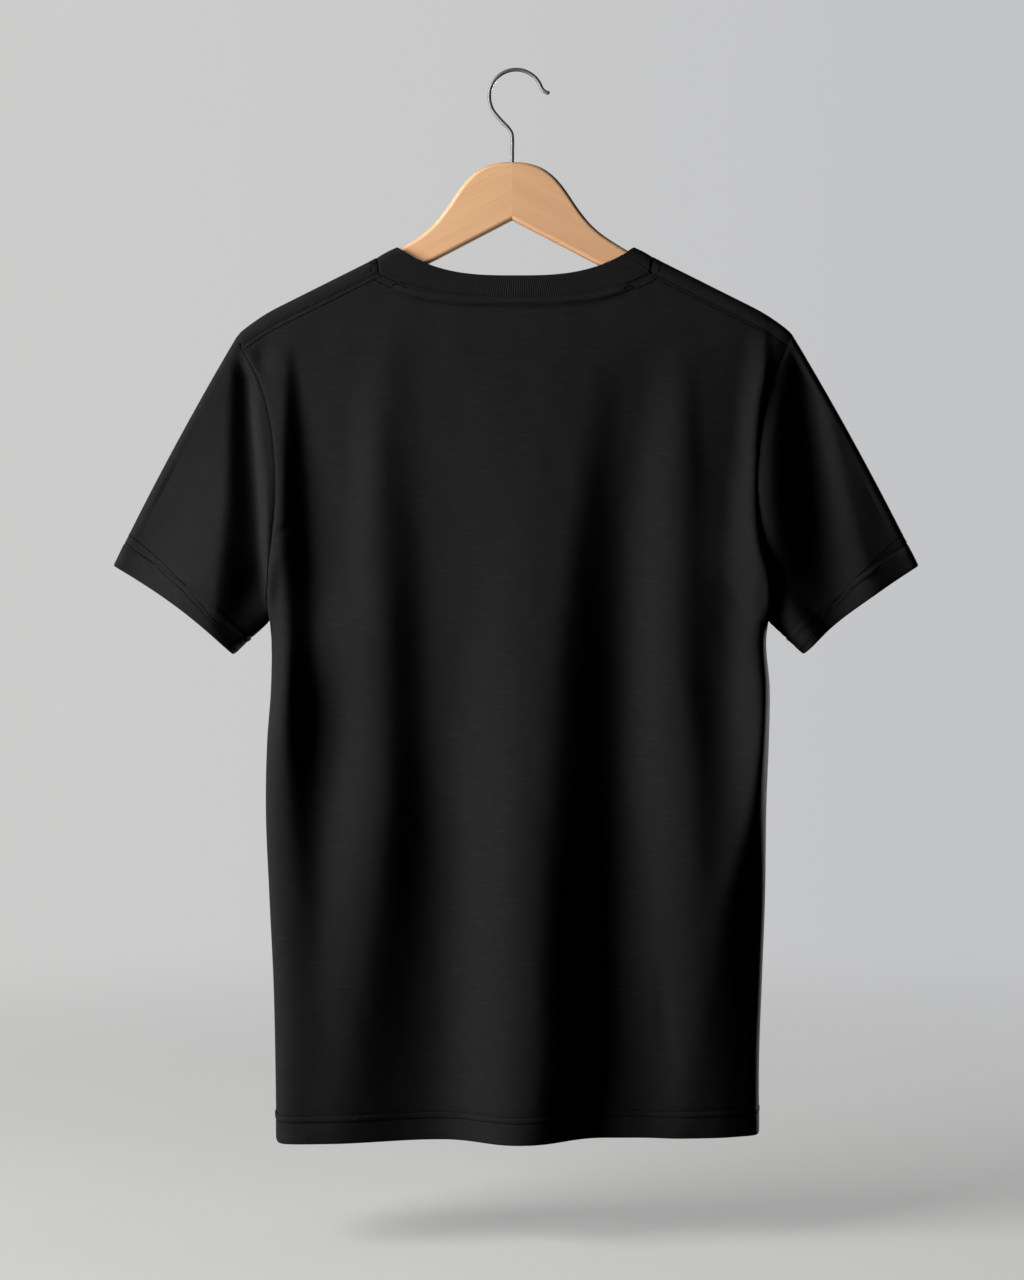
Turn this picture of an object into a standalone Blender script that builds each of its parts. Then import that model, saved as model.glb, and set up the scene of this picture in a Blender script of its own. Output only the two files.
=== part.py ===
"""Crew neck t-shirt hanging on a wooden hanger with a wire hook.

Metres, +Z up. The origin is the inside of the hook's crown, where the hanger hangs on its rod.
The wearer's front faces -Y and the wearer's left is +X.

The shirt is cut from a back, a front, two sleeves and a neckband. Each is a wall of cloth between
an outer face, worked out from the tables below, and an inner face one cloth thickness inside it.
Pieces that meet at a seam share its points and its direction through the cloth, and then draw back
by half a gap each. The front is cut long at the shoulders, so that it rolls over the hanger and its
shoulder seam lies on the back.
"""

from collections import defaultdict, namedtuple

import bmesh
import bpy
import numpy as np
from mathutils import Vector

# ---------------------------------------------------------------- cloth and seams
CLOTH = 0.0015              # wall of the jersey pieces
RIB = 0.0018                # wall of the neckband
GAP = 0.0004                # between two pieces along their seam
WELD_DIGITS = 6             # decimals at which two points count as one
SAME_PLACE = 1e-9           # shares of the width that count as the same
SEAM_AGREES = 0.35          # two pieces share their way through the cloth up to this cosine

# ---------------------------------------------------------------- heights of the body
HEM = -0.870
ARMPIT = -0.452

# ---------------------------------------------------------------- shoulders
SHOULDER_X = 0.116          # a point on the straight part of the shoulder
SHOULDER_Z = -0.1542
SHOULDER_SLOPE = 0.501
TIP_X = 0.195               # past this the shoulder drops round the hanger's tip
TIP_DROP = 5.3              # metres of drop per square metre past it
ARCH = 0.0102               # half the thickness of the cloth that is folded over the hanger
ARCH_SQUARE = 0.85          # under 1 the fold is squarer than a half circle
SEAM_DROP = 0.0148          # from the shoulder line down the back to the shoulder seam
ARMHOLE_TOP = 0.2276        # where the armhole crosses the shoulder line

# ---------------------------------------------------------------- neck
NECK_SHARE = 0.4945         # neck seam, as a share of the shoulder's width
NECK_BACK = -0.1863         # lowest point of the neck seam at the back
NECK_FRONT = -0.2560        # and at the front
NECK_BACK_POWER = 3.0
NECK_FRONT_POWER = 2.2
BAND_X = 0.0970             # where the neckband's edge crosses the shoulder line
BAND_Z = -0.1443
BAND_INWARD = 0.0075        # how far that edge moves in as it comes off the hanger
BAND_FALL = 0.0060          # and how far it falls
BAND_BACK = -0.1681         # lowest point of the neckband's edge at the back
BAND_FRONT = -0.2370        # and at the front
BAND_CORNER = 0.0018        # from the hanger's fold to the first point on the flat of back or front
BAND_LEAN = 0.0035          # how far the edge leans in at the middle of back and front
BAND_CROWN = 0.0008         # how far the band rounds out between seam and edge

# ---------------------------------------------------------------- body sections, hem to shoulder
# left and right: where the side seam or armhole lies. back and front: depth of the middle.
# square: how square the section is on each side. soft: 0.5 rounds into the side seam, 1 stays open.
Section = namedtuple("Section", "height left right back front square_left square_right soft")
SECTIONS = (
    Section(-0.870, 0.1948, -0.1997, 0.072, 0.066, 60.0, 50.0, 0.50),
    Section(-0.810, 0.1956, -0.1998, 0.071, 0.065, 60.0, 50.0, 0.50),
    Section(-0.745, 0.1972, -0.2021, 0.069, 0.063, 60.0, 50.0, 0.50),
    Section(-0.679, 0.2005, -0.2046, 0.066, 0.061, 60.0, 50.0, 0.50),
    Section(-0.597, 0.2038, -0.2058, 0.062, 0.057, 60.0, 50.0, 0.50),
    Section(-0.548, 0.2030, -0.2079, 0.059, 0.055, 44.0, 36.0, 0.50),
    Section(-0.507, 0.2005, -0.2087, 0.056, 0.052, 24.0, 20.0, 0.50),
    Section(-0.466, 0.2005, -0.2058, 0.053, 0.050, 9.0, 8.0, 0.50),
    Section(-0.437, 0.2032, -0.2095, 0.051, 0.048, 5.0, 5.0, 0.56),
    Section(-0.412, 0.2018, -0.2080, 0.049, 0.046, 3.8, 3.8, 0.66),
    Section(-0.384, 0.1985, -0.2007, 0.046, 0.043, 3.1, 3.1, 0.78),
    Section(-0.350, 0.1957, -0.1971, 0.042, 0.039, 2.6, 2.6, 0.90),
    Section(-0.316, 0.1970, -0.1990, 0.036, 0.034, 2.3, 2.3, 1.00),
    Section(-0.285, 0.2015, -0.2035, 0.030, 0.029, 2.1, 2.1, 1.00),
    Section(-0.254, 0.2112, -0.2120, 0.024, 0.025, 2.0, 2.0, 1.00),
    Section(-0.228, 0.2251, -0.2235, 0.0185, 0.020, 2.0, 2.0, 1.00),
    Section(-0.2165, 0.2276, -0.2262, 0.0165, 0.0185, 2.0, 2.0, 1.00),
    Section(-0.186, 0.2276, -0.2262, 0.0122, 0.0135, 2.0, 2.0, 1.00),
    Section(-0.160, 0.2276, -0.2262, 0.0102, 0.0102, 2.0, 2.0, 1.00),
)

# An opening is a ring of cloth, from its lowest point (0) to its top (1). Its depth rises round a
# quarter of an ellipse over the lowest share, then falls to the depth of the fold at the top.
Opening = namedtuple("Opening", "share deep top")
ARMHOLE = Opening(0.32, 0.0250, ARCH)

# ---------------------------------------------------------------- folds
# A fold is a valley that runs down the cloth. Its place, the reach of its two sides and its depth
# are given at five even steps from its top to its bottom. left is the side towards +X.
Fold = namedtuple("Fold", "piece top bottom place left right depth run_in run_out")
FOLDS = (
    Fold("front", -0.250, -0.780, (0.162, 0.156, 0.150, 0.146, 0.142),
         (0.022, 0.028, 0.030, 0.030, 0.030), (0.022, 0.026, 0.030, 0.034, 0.036),
         (0.004, 0.014, 0.017, 0.014, 0.009), 0.20, 0.40),
    Fold("front", -0.310, -0.900, (0.034, 0.040, 0.046, 0.050, 0.052),
         (0.018, 0.026, 0.034, 0.040, 0.046), (0.018, 0.026, 0.038, 0.048, 0.056),
         (0.002, 0.010, 0.018, 0.024, 0.028), 0.18, 0.00),
    Fold("front", -0.290, -0.900, (-0.058, -0.066, -0.068, -0.066, -0.063),
         (0.016, 0.022, 0.028, 0.034, 0.038), (0.018, 0.024, 0.032, 0.038, 0.042),
         (0.002, 0.008, 0.013, 0.017, 0.019), 0.18, 0.00),
    Fold("front", -0.245, -0.740, (-0.148, -0.154, -0.157, -0.155, -0.150),
         (0.018, 0.024, 0.028, 0.030, 0.030), (0.020, 0.024, 0.026, 0.028, 0.028),
         (0.004, 0.013, 0.018, 0.014, 0.009), 0.20, 0.45),
    Fold("sleeve_left_back", -0.222, -0.480, (0.2225, 0.2188, 0.2140, 0.2115, 0.2035),
         (0.008, 0.016, 0.025, 0.035, 0.046), (0.006, 0.009, 0.012, 0.012, 0.011),
         (0.006, 0.012, 0.017, 0.020, 0.020), 0.07, 0.00),
    Fold("sleeve_left_front", -0.236, -0.480, (0.226, 0.225, 0.224, 0.224, 0.222),
         (0.010, 0.018, 0.026, 0.034, 0.040), (0.008, 0.014, 0.018, 0.020, 0.020),
         (0.002, 0.008, 0.012, 0.015, 0.015), 0.20, 0.00),
    Fold("sleeve_right_back", -0.222, -0.480, (-0.234, -0.239, -0.244, -0.252, -0.266),
         (0.015, 0.030, 0.040, 0.050, 0.058), (0.010, 0.019, 0.030, 0.042, 0.048),
         (0.006, 0.015, 0.020, 0.023, 0.022), 0.09, 0.00),
    Fold("sleeve_right_front", -0.236, -0.480, (-0.226, -0.226, -0.228, -0.230, -0.232),
         (0.008, 0.014, 0.020, 0.022, 0.022), (0.010, 0.020, 0.028, 0.036, 0.042),
         (0.002, 0.008, 0.012, 0.013, 0.013), 0.20, 0.00),
)

# The back hangs in steps towards -X: each turns the cloth out, or in where it is below nought, by
# its rise over its width about its place. Eight values each, at even heights from top to bottom.
Step = namedtuple("Step", "piece top bottom place width rise")
STEPS = (
    Step("back", -0.222, -0.905, (0.184, 0.182, 0.179, 0.176, 0.171, 0.166, 0.165, 0.170),
         (0.010, 0.027, 0.041, 0.034, 0.036, 0.042, 0.045, 0.045),
         (0.0000, -0.0175, -0.0300, -0.0275, -0.0130, -0.0065, -0.0025, -0.0015)),
    Step("back", -0.190, -0.905, (0.114, 0.122, 0.128, 0.133, 0.135, 0.144, 0.165, 0.186),
         (0.050, 0.044, 0.041, 0.052, 0.054, 0.041, 0.035, 0.031),
         (0.0000, 0.0060, 0.0070, 0.0080, 0.0120, 0.0040, 0.0000, 0.0020)),
    Step("back", -0.200, -0.905, (0.109, 0.099, 0.093, 0.090, 0.089, 0.094, 0.104, 0.110),
         (0.094, 0.071, 0.056, 0.053, 0.054, 0.075, 0.104, 0.132),
         (0.0000, -0.0105, -0.0145, -0.0175, -0.0225, -0.0250, -0.0260, -0.0250)),
    Step("back", -0.200, -0.905, (0.004, 0.013, 0.020, 0.023, 0.025, 0.028, 0.028, 0.028),
         (0.178, 0.145, 0.114, 0.089, 0.085, 0.087, 0.078, 0.072),
         (0.0000, 0.0050, 0.0135, 0.0185, 0.0255, 0.0335, 0.0355, 0.0340)),
    Step("back", -0.225, -0.905, (-0.079, -0.068, -0.062, -0.058, -0.054, -0.049, -0.046, -0.034),
         (0.044, 0.052, 0.067, 0.087, 0.092, 0.088, 0.081, 0.079),
         (0.0000, -0.0085, -0.0220, -0.0340, -0.0420, -0.0450, -0.0450, -0.0405)),
    Step("back", -0.215, -0.905, (-0.128, -0.117, -0.110, -0.106, -0.106, -0.109, -0.122, -0.142),
         (0.041, 0.052, 0.070, 0.077, 0.091, 0.094, 0.090, 0.089),
         (0.0000, 0.0140, 0.0230, 0.0255, 0.0265, 0.0255, 0.0210, 0.0135)),
    Step("back", -0.225, -0.905, (-0.145, -0.147, -0.147, -0.151, -0.156, -0.155, -0.147, -0.136),
         (0.020, 0.025, 0.035, 0.045, 0.041, 0.048, 0.050, 0.044),
         (0.0000, -0.0030, -0.0025, -0.0110, -0.0065, -0.0030, -0.0065, -0.0120)),
    Step("back", -0.210, -0.905, (-0.199, -0.195, -0.192, -0.192, -0.201, -0.209, -0.217, -0.224),
         (0.031, 0.044, 0.061, 0.052, 0.061, 0.064, 0.063, 0.061),
         (0.0000, 0.0290, 0.0450, 0.0365, 0.0240, 0.0185, 0.0180, 0.0205)),
    Step("back", -0.205, -0.905, (-0.206, -0.208, -0.211, -0.210, -0.200, -0.186, -0.183, -0.180),
         (0.010, 0.010, 0.011, 0.018, 0.035, 0.066, 0.083, 0.095),
         (0.0000, -0.0195, -0.0270, -0.0290, -0.0300, -0.0290, -0.0250, -0.0225)),
)
EDGE_SQUARE = 40.0          # how close to a side seam folds keep their depth
FRONT_SQUARE = 9.0          # the front is never squarer than this at its sides
UNDERARM_RISE = 0.060       # height over which the cloth by an armhole takes up the armhole's depth
UNDERARM_EDGE = 0.05        # share of the half width that has it from the underarm on
EDGE_FADE = 0.06            # share of the half width over which folds die at an armhole

# ---------------------------------------------------------------- sleeves
# out and low: the cuff's outer corner and its lowest corner. sag: how far the cuff's edge curves
# down on its way to the lowest corner.
Sleeve = namedtuple("Sleeve", "name side out_x out_z low_x low_z sag")
SLEEVES = (
    Sleeve("sleeve_left", 1, 0.3300, -0.4059, 0.2317, -0.4789, 0.0140),
    Sleeve("sleeve_right", -1, -0.3309, -0.4059, -0.2365, -0.4785, 0.0120),
)
CUFF = Opening(0.26, 0.0330, 0.0085)
CUFF_SAG_POWER = 3.5
CUFF_SEAM_SHARE = 0.985     # where the shoulder seam's point falls on the cuff
UNDERARM_FADE = 0.25        # share of the ring over which folds die at the underarm
ARMHOLE_FADE = 0.06         # share of the sleeve over which folds die at the armhole
SLEEVE_SWELL = 0.004        # extra depth half way down the sleeve
SLEEVE_BOW = 0.002          # how far the sleeve's top edge bows out
SLEEVE_RISE = 0.001         # and up
SLEEVE_TOP = 0.6            # share of the ring from which the cloth bows and rises with that edge

# ---------------------------------------------------------------- how finely each piece is divided
SHOULDER_COLUMNS = 9
NECK_COLUMNS = 18
LOWER_ROWS = 13
UPPER_ROWS = 12
ARCH_ROWS = 8
SLEEVE_ROWS = 10
BAND_ROWS = 3
CLIMB_POWER = 1.4           # over 1 draws the rows together at the armpit
SIDE_POWER = 1.75           # over 1 draws the columns together at the side seams
Station = namedtuple("Station", "side climb arch")

# ---------------------------------------------------------------- hanger
HANGER_X = 0.0027           # the hanger's middle
WOOD = 0.0120               # its thickness
WOOD_EDGE = 0.0035          # radius of its long edges
EDGE_RESOLUTION = 1
WOOD_DROP = 0.0027          # its top edge, under the cloth's shoulder line
APEX_TOP = -0.0746
APEX_UNDER = -0.1222
UNDER_SLOPE = 0.52
ARM_START = 0.1080          # where the arm's top edge starts to follow the shoulder
ARM_END = 0.2060            # and where its round tip starts
ARM_STEPS = 5
TIP_STEPS = 8
MITRE_GAP = 0.0003
WOOD_WELD = 0.00001         # points of the wood closer than this are joined
SAW_WELD = 0.000001         # and points this close to the mitre lie on it
# The hanger's head, from its dome out to the arms: half its width at a depth below its top.
Head = namedtuple("Head", "half_width below")
HEAD = (
    Head(0.0080, 0.0004),
    Head(0.0155, 0.0017),
    Head(0.0254, 0.0055),
    Head(0.0342, 0.0120),
    Head(0.0406, 0.0190),
    Head(0.0459, 0.0262),
    Head(0.0513, 0.0344),
    Head(0.0572, 0.0426),
    Head(0.0640, 0.0508),
    Head(0.0734, 0.0592),
    Head(0.0845, 0.0667),
    Head(0.0980, 0.0748),
)

# ---------------------------------------------------------------- hook
WIRE = 0.0032               # diameter
STEM_DEPTH = 0.0220         # how far the stem goes into the wood
STEM_CLEARANCE = 0.0003
HOLE_SIDES = 16
DRILL_ABOVE = 0.0050        # how far the drill starts above the wood
STEM_TOP = -0.0560
CROWN_X = -0.0004           # the crown's middle
CROWN_RADIUS = 0.0220       # to the middle of the wire
CROWN_START = -15.0         # degrees; 0 points to +X
CROWN_END = 152.0
CROWN_STEPS = 12
POINTS_APART = 0.0040       # along the wire
Bend = namedtuple("Bend", "x z")
NECK_OF_HOOK = (Bend(0.0031, -0.0512), Bend(0.0058, -0.0466), Bend(0.0103, -0.0419),
                Bend(0.0153, -0.0363), Bend(0.0189, -0.0314))
TIP_OF_HOOK = (Bend(-0.0216, -0.0140), Bend(-0.0238, -0.0163), Bend(-0.0268, -0.0176))
TIP_TAPER = 0.55            # radius of the wire's rounded end, as a share of its full one
TIP_LENGTH = 0.0008
WIRE_RESOLUTION = 2

# ---------------------------------------------------------------- finishes
Finish = namedtuple("Finish", "colour roughness metallic")
JERSEY = Finish((0.012, 0.012, 0.012), 0.90, 0.0)
BAND_RIB = Finish((0.010, 0.010, 0.010), 0.95, 0.0)
LEFT_WOOD = Finish((0.62, 0.38, 0.19), 0.45, 0.0)
RIGHT_WOOD = Finish((0.60, 0.36, 0.17), 0.45, 0.0)
STEEL = Finish((0.55, 0.54, 0.53), 0.25, 1.0)


def smooth(t):
    """0 to 1 with a level start and end."""
    t = np.clip(t, 0.0, 1.0)
    return t * t * (3.0 - 2.0 * t)


def read(at, value, where):
    """A smooth curve through rows of values, read at any place."""
    slope = np.gradient(value, at, axis=0)
    where = np.clip(where, at[0], at[-1])
    i = np.clip(np.searchsorted(at, where) - 1, 0, len(at) - 2)
    step = at[i + 1] - at[i]
    t = (where - at[i]) / step
    if value.ndim > 1:
        step, t = step[:, None], t[:, None]
    return (
        value[i] * (1 + 2 * t) * (1 - t) ** 2 + slope[i] * step * t * (1 - t) ** 2
        + value[i + 1] * t * t * (3 - 2 * t) + slope[i + 1] * step * t * t * (t - 1)
    )


def along(values, t):
    """A smooth curve through evenly spaced values, from t = 0 to 1."""
    return read(np.linspace(0.0, 1.0, len(values)), np.array(values), t)


SECTION_HEIGHTS = np.array([row.height for row in SECTIONS])
SECTION_COLUMNS = {name: np.array([getattr(row, name) for row in SECTIONS])
                   for name in Section._fields}


def column(name, height):
    """A column of SECTIONS at any height."""
    return read(SECTION_HEIGHTS, SECTION_COLUMNS[name], height)


def shoulder_line(x):
    """Height of the shirt's top line, where the cloth lies over the hanger."""
    x = np.abs(x)
    past_tip = np.maximum(x - TIP_X, 0.0)
    return SHOULDER_Z - SHOULDER_SLOPE * (x - SHOULDER_X) - TIP_DROP * past_tip ** 2


def opening_depth(opening, share):
    """Depth of an armhole or a cuff, from its lowest point (0) to the fold at its top (1)."""
    low = np.clip(share / opening.share, 0.0, 1.0)
    rise = np.sqrt(np.maximum(1.0 - (1.0 - low) ** 2, 0.0))
    fall = smooth((share - opening.share) / (1.0 - opening.share))
    return rise * (opening.deep + (opening.top - opening.deep) * fall)


def relief(piece, x, z):
    """How far the folds of a piece draw its cloth in at x, z."""
    total = np.zeros(np.broadcast(x, z).shape)
    for fold in FOLDS:
        if fold.piece != piece:
            continue
        t = np.clip((fold.top - z) / (fold.top - fold.bottom), 0.0, 1.0)
        envelope = smooth(t / fold.run_in)
        if fold.run_out:
            envelope = envelope * smooth((1.0 - t) / fold.run_out)
        across = x - along(fold.place, t)
        reach = np.where(across > 0, along(fold.left, t), along(fold.right, t))
        shape = 0.5 + 0.5 * np.cos(np.pi * np.clip(across / reach, -1.0, 1.0))
        total = total + along(fold.depth, t) * envelope * shape
    for step in STEPS:
        if step.piece != piece:
            continue
        t = np.clip((step.top - z) / (step.top - step.bottom), 0.0, 1.0)
        past = np.clip(0.5 + (along(step.place, t) - x) / along(step.width, t), 0.0, 1.0)
        total = total - along(step.rise, t) * (past - np.sin(2 * np.pi * past) / (2 * np.pi))
    return total


def body_depth(piece, x, z):
    """Distance of the back's or the front's outer face from the middle plane."""
    left, right = column("left", z), column("right", z)
    offset = (2 * x - left - right) / (left - right)
    share = np.clip(np.abs(offset), 0.0, 1.0)
    square = np.where(offset > 0, column("square_left", z), column("square_right", z))
    if piece == "front":
        square = np.minimum(square, FRONT_SQUARE)
    top = shoulder_line(ARMHOLE_TOP) - SEAM_DROP
    at_seam = opening_depth(ARMHOLE, (z - ARMPIT) / (top - ARMPIT)) * (z > ARMPIT)
    above = smooth((z - ARMPIT) / UNDERARM_RISE)
    at_seam = at_seam * (above + (1.0 - above) * smooth((share - 1.0) / UNDERARM_EDGE + 1.0))
    hump = (1.0 - share ** square) ** column("soft", z)
    folds = relief(piece, x, z)
    at_side = np.sqrt(1.0 - share ** EDGE_SQUARE)
    at_armhole = smooth((1.0 - share) / EDGE_FADE)
    fade = at_side + (at_armhole - at_side) * (2.0 * column("soft", z) - 1.0)
    return at_seam + (column(piece, z) - at_seam) * hump - folds * fade


def even(low, high, count, power=1.0):
    """Shares from low to high, closer together at the low end where power is over 1."""
    return low + (high - low) * np.linspace(0.0, 1.0, count + 1) ** power


def columns_across():
    """Places across the body from -1 to 1, closest at the sides, with one at each neck point."""
    shoulder = 1.0 - even(0.0, 1.0 - NECK_SHARE, SHOULDER_COLUMNS, SIDE_POWER)[::-1]
    neck = even(-NECK_SHARE, NECK_SHARE, NECK_COLUMNS)
    return np.concatenate([-shoulder[::-1], neck[1:-1], shoulder])


def across_body(place, edge_height):
    """x of a place across the body, between the seams at a height."""
    left, right = column("left", edge_height), column("right", edge_height)
    return (left + right) / 2 + place * (left - right) / 2


def body_top(piece, place):
    """x and z of the upper end of each column: its shoulder seam or fold, or its neckline."""
    drop = SEAM_DROP if piece == "back" else ARCH
    x = across_body(place, shoulder_line(ARMHOLE_TOP) - drop)
    corner_x = across_body(np.array(NECK_SHARE), shoulder_line(ARMHOLE_TOP) - drop)
    corner_z = shoulder_line(corner_x) - drop
    share = np.clip(np.abs(place) / NECK_SHARE, 0.0, 1.0)
    if piece == "back":
        neckline = NECK_BACK + (corner_z - NECK_BACK) * share ** NECK_BACK_POWER
    else:
        bowl = (1.0 - share ** NECK_FRONT_POWER) ** (1.0 / NECK_FRONT_POWER)
        neckline = corner_z + (NECK_FRONT - corner_z) * bowl
    on_neck = np.abs(place) < NECK_SHARE - SAME_PLACE
    return x, np.where(on_neck, neckline, shoulder_line(x) - drop)


def body_grid(piece):
    """Rows of points up the back or the front, from the hem to its upper end."""
    side = 1.0 if piece == "back" else -1.0
    place = columns_across()
    drop = SEAM_DROP if piece == "back" else ARCH
    rows = []
    for height in even(HEM, ARMPIT, LOWER_ROWS):
        rows.append((across_body(place, height), np.full_like(place, height)))
    x_top, z_top = body_top(piece, place)
    for rise in even(0.0, 1.0, UPPER_ROWS, CLIMB_POWER)[1:]:
        edge = ARMPIT + (shoulder_line(ARMHOLE_TOP) - drop - ARMPIT) * rise
        x = across_body(place, edge)
        z = ARMPIT + (z_top - ARMPIT) * rise
        rows.append((x, z))
    return [np.stack([x, side * body_depth(piece, x, z), z], axis=1) for x, z in rows]


def arch_turn(row):
    """Cosine and sine, squared off, of a row of the fold over the hanger."""
    turn = np.pi * row / ARCH_ROWS
    return (np.sign(np.cos(turn)) * abs(np.cos(turn)) ** ARCH_SQUARE,
            abs(np.sin(turn)) ** ARCH_SQUARE)


def shoulder_grid(side):
    """Rows of points of the front where it rolls over one shoulder, front to back."""
    place = columns_across()
    place = place[place * side > NECK_SHARE - SAME_PLACE]
    rows = []
    for row in range(ARCH_ROWS + 1):
        away, rise = arch_turn(row)
        fall = ARCH * (1.0 - rise)
        x = across_body(place, shoulder_line(ARMHOLE_TOP) - fall)
        z = shoulder_line(x) - fall
        front = body_depth("front", x, shoulder_line(x) - ARCH)
        back = body_depth("back", x, shoulder_line(x) - ARCH)
        rows.append(np.stack([x, -away * np.where(away > 0, front, back), z], axis=1))
    x, z = body_top("back", place)
    rows.append(np.stack([x, body_depth("back", x, z), z], axis=1))
    return rows


def ring_stations():
    """Places round an opening of the body: up the back, over the shoulder, down the front."""
    climb = even(0.0, 1.0, UPPER_ROWS, CLIMB_POWER)
    back = [Station(1, share, None) for share in climb]
    over = [Station(0, 1.0, row) for row in range(ARCH_ROWS, -1, -1)]
    front = [Station(-1, share, None) for share in climb[-2:0:-1]]
    return back + over + front


def armhole_points(side, back_rows, front_rows, over_rows):
    """The armhole's points on the body, one for each station."""
    edge = -1 if side > 0 else 0
    back = [row[edge] for row in back_rows[LOWER_ROWS:]]
    over = [over_rows[row][edge] for row in range(ARCH_ROWS, -1, -1)]
    front = [row[edge] for row in front_rows[LOWER_ROWS + 1:-1][::-1]]
    return np.array(back + over + front)


def cuff_points(sleeve):
    """The cuff's points, one for each station."""
    width = np.hypot(sleeve.out_x - sleeve.low_x, sleeve.out_z - sleeve.low_z)
    fold = CUFF.top / width
    points = []
    for station in ring_stations():
        if station.arch is None:
            share = station.climb * (1.0 - fold) * CUFF_SEAM_SHARE
            depth = station.side * float(opening_depth(CUFF, station.climb))
        else:
            away, rise = arch_turn(station.arch)
            share = 1.0 - fold * (1.0 - rise)
            depth = -away * CUFF.top
        down = 1.0 - share
        x = sleeve.out_x + (sleeve.low_x - sleeve.out_x) * down
        z = sleeve.out_z + (sleeve.low_z - sleeve.out_z) * down
        sag = sleeve.sag * (down - down ** CUFF_SAG_POWER)
        points.append((x, depth, z + sag))
    return np.array(points)


def sleeve_grid(sleeve, armhole):
    """Rings of points from the armhole out to the cuff."""
    stations = ring_stations()
    cuff = cuff_points(sleeve)
    face = np.array([station.side for station in stations])
    climb = np.array([station.climb for station in stations])
    near_top = smooth((climb - SLEEVE_TOP) / (1.0 - SLEEVE_TOP))
    rings = []
    for t in even(0.0, 1.0, SLEEVE_ROWS):
        points = armhole + (cuff - armhole) * t
        middle = 4.0 * t * (1.0 - t)
        x, z = points[:, 0], points[:, 2]
        fade = smooth(climb / UNDERARM_FADE) * smooth(t / ARMHOLE_FADE)
        folds = np.where(face > 0, relief(sleeve.name + "_back", x, z),
                         relief(sleeve.name + "_front", x, z))
        swell = SLEEVE_SWELL * middle * np.sin(np.pi * climb)
        points[:, 1] += face * (swell - folds * fade)
        points[:, 0] += sleeve.side * SLEEVE_BOW * middle * near_top
        points[:, 2] += SLEEVE_RISE * middle * near_top
        rings.append(points)
    return rings


def band_grid(seam, places):
    """Rings of points from the neck seam to the neckband's edge."""
    edge = []
    for kind, value in places:
        if kind == "arch":
            side, row = value
            away, rise = arch_turn(row)
            x = side * (BAND_X - BAND_INWARD * (1.0 - rise))
            edge.append((x, -away * ARCH, BAND_Z - BAND_FALL * (1.0 - rise)))
            continue
        share = abs(value)
        low, power = (BAND_BACK, NECK_BACK_POWER) if kind == "back" else (BAND_FRONT, NECK_FRONT_POWER)
        corner = BAND_Z - BAND_FALL - BAND_CORNER / 2
        if kind == "back":
            z = low + (corner - low) * share ** power
            middle = body_depth("back", np.array(0.0), np.array(NECK_BACK)) - BAND_LEAN
        else:
            z = corner + (low - corner) * (1.0 - share ** power) ** (1.0 / power)
            middle = body_depth("front", np.array(0.0), np.array(NECK_FRONT)) - BAND_LEAN
        y = ARCH + (middle - ARCH) * (1.0 - share ** 2)
        reach = BAND_X - BAND_INWARD - BAND_CORNER
        edge.append((value * reach, y if kind == "back" else -y, z))
    start, end = np.array(seam), np.array(edge)
    rings = []
    for t in even(0.0, 1.0, BAND_ROWS):
        points = start + (end - start) * t
        out = points * np.array([1.0, 1.0, 0.0])
        out /= np.linalg.norm(out, axis=1)[:, None]
        rings.append(points + out * BAND_CROWN * np.sin(np.pi * t))
    return rings


class Piece:
    """A cut piece of cloth: the outer face as quads on shared points, and the wall's thickness."""

    def __init__(self, name, thickness):
        self.name = name
        self.thickness = thickness
        self.points = []
        self.keys = []
        self.number = {}
        self.quads = []

    def point(self, place):
        key = tuple(round(float(c), WELD_DIGITS) + 0.0 for c in place)
        if key not in self.number:
            self.number[key] = len(self.points)
            self.points.append(Vector([float(c) for c in place]))
            self.keys.append(key)
        return self.number[key]

    def patch(self, rows, outward=True, closed=False):
        """Add a grid of points; outward tells whether its rows and columns already face out."""
        grid = [[self.point(place) for place in row] for row in rows]
        for below, above in zip(grid, grid[1:]):
            if closed:
                below, above = below + below[:1], above + above[:1]
            for i in range(len(below) - 1):
                quad = [below[i], below[i + 1], above[i + 1], above[i]]
                self.quads.append(quad if outward else quad[::-1])

    def quad_normal(self, quad):
        a, b, c, d = (self.points[i] for i in quad)
        return (c - a).cross(d - b)

    def triangles(self, quad):
        """The quad split along its shorter diagonal, so that both faces of the wall agree."""
        a, b, c, d = quad
        places = [self.points[i] for i in quad]
        if (places[0] - places[2]).length < (places[1] - places[3]).length:
            return (a, b, c), (a, c, d)
        return (a, b, d), (b, c, d)

    def open_edges(self):
        """Edges that belong to one quad, each with its quad's normal."""
        seen = defaultdict(list)
        for quad in self.quads:
            for a, b in zip(quad, quad[1:] + quad[:1]):
                seen[frozenset((a, b))].append((a, b, self.quad_normal(quad)))
        return [uses[0] for uses in seen.values() if len(uses) == 1]


def facing_at(pieces):
    """For each point, the way each piece that has it faces there."""
    facing = defaultdict(lambda: defaultdict(Vector))
    for piece in pieces:
        for quad in piece.quads:
            normal = piece.quad_normal(quad)
            for i in quad:
                facing[piece.keys[i]][piece.name] += normal
    return facing


def through_cloth(name, facing):
    """The way out of the wall of one piece: shared along a seam, but not across a sharp hollow."""
    mine = facing[name].normalized()
    theirs = [facing[other].normalized() for other in sorted(facing)]
    return sum((way for way in theirs if mine.dot(way) > SEAM_AGREES), Vector()).normalized()


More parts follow.
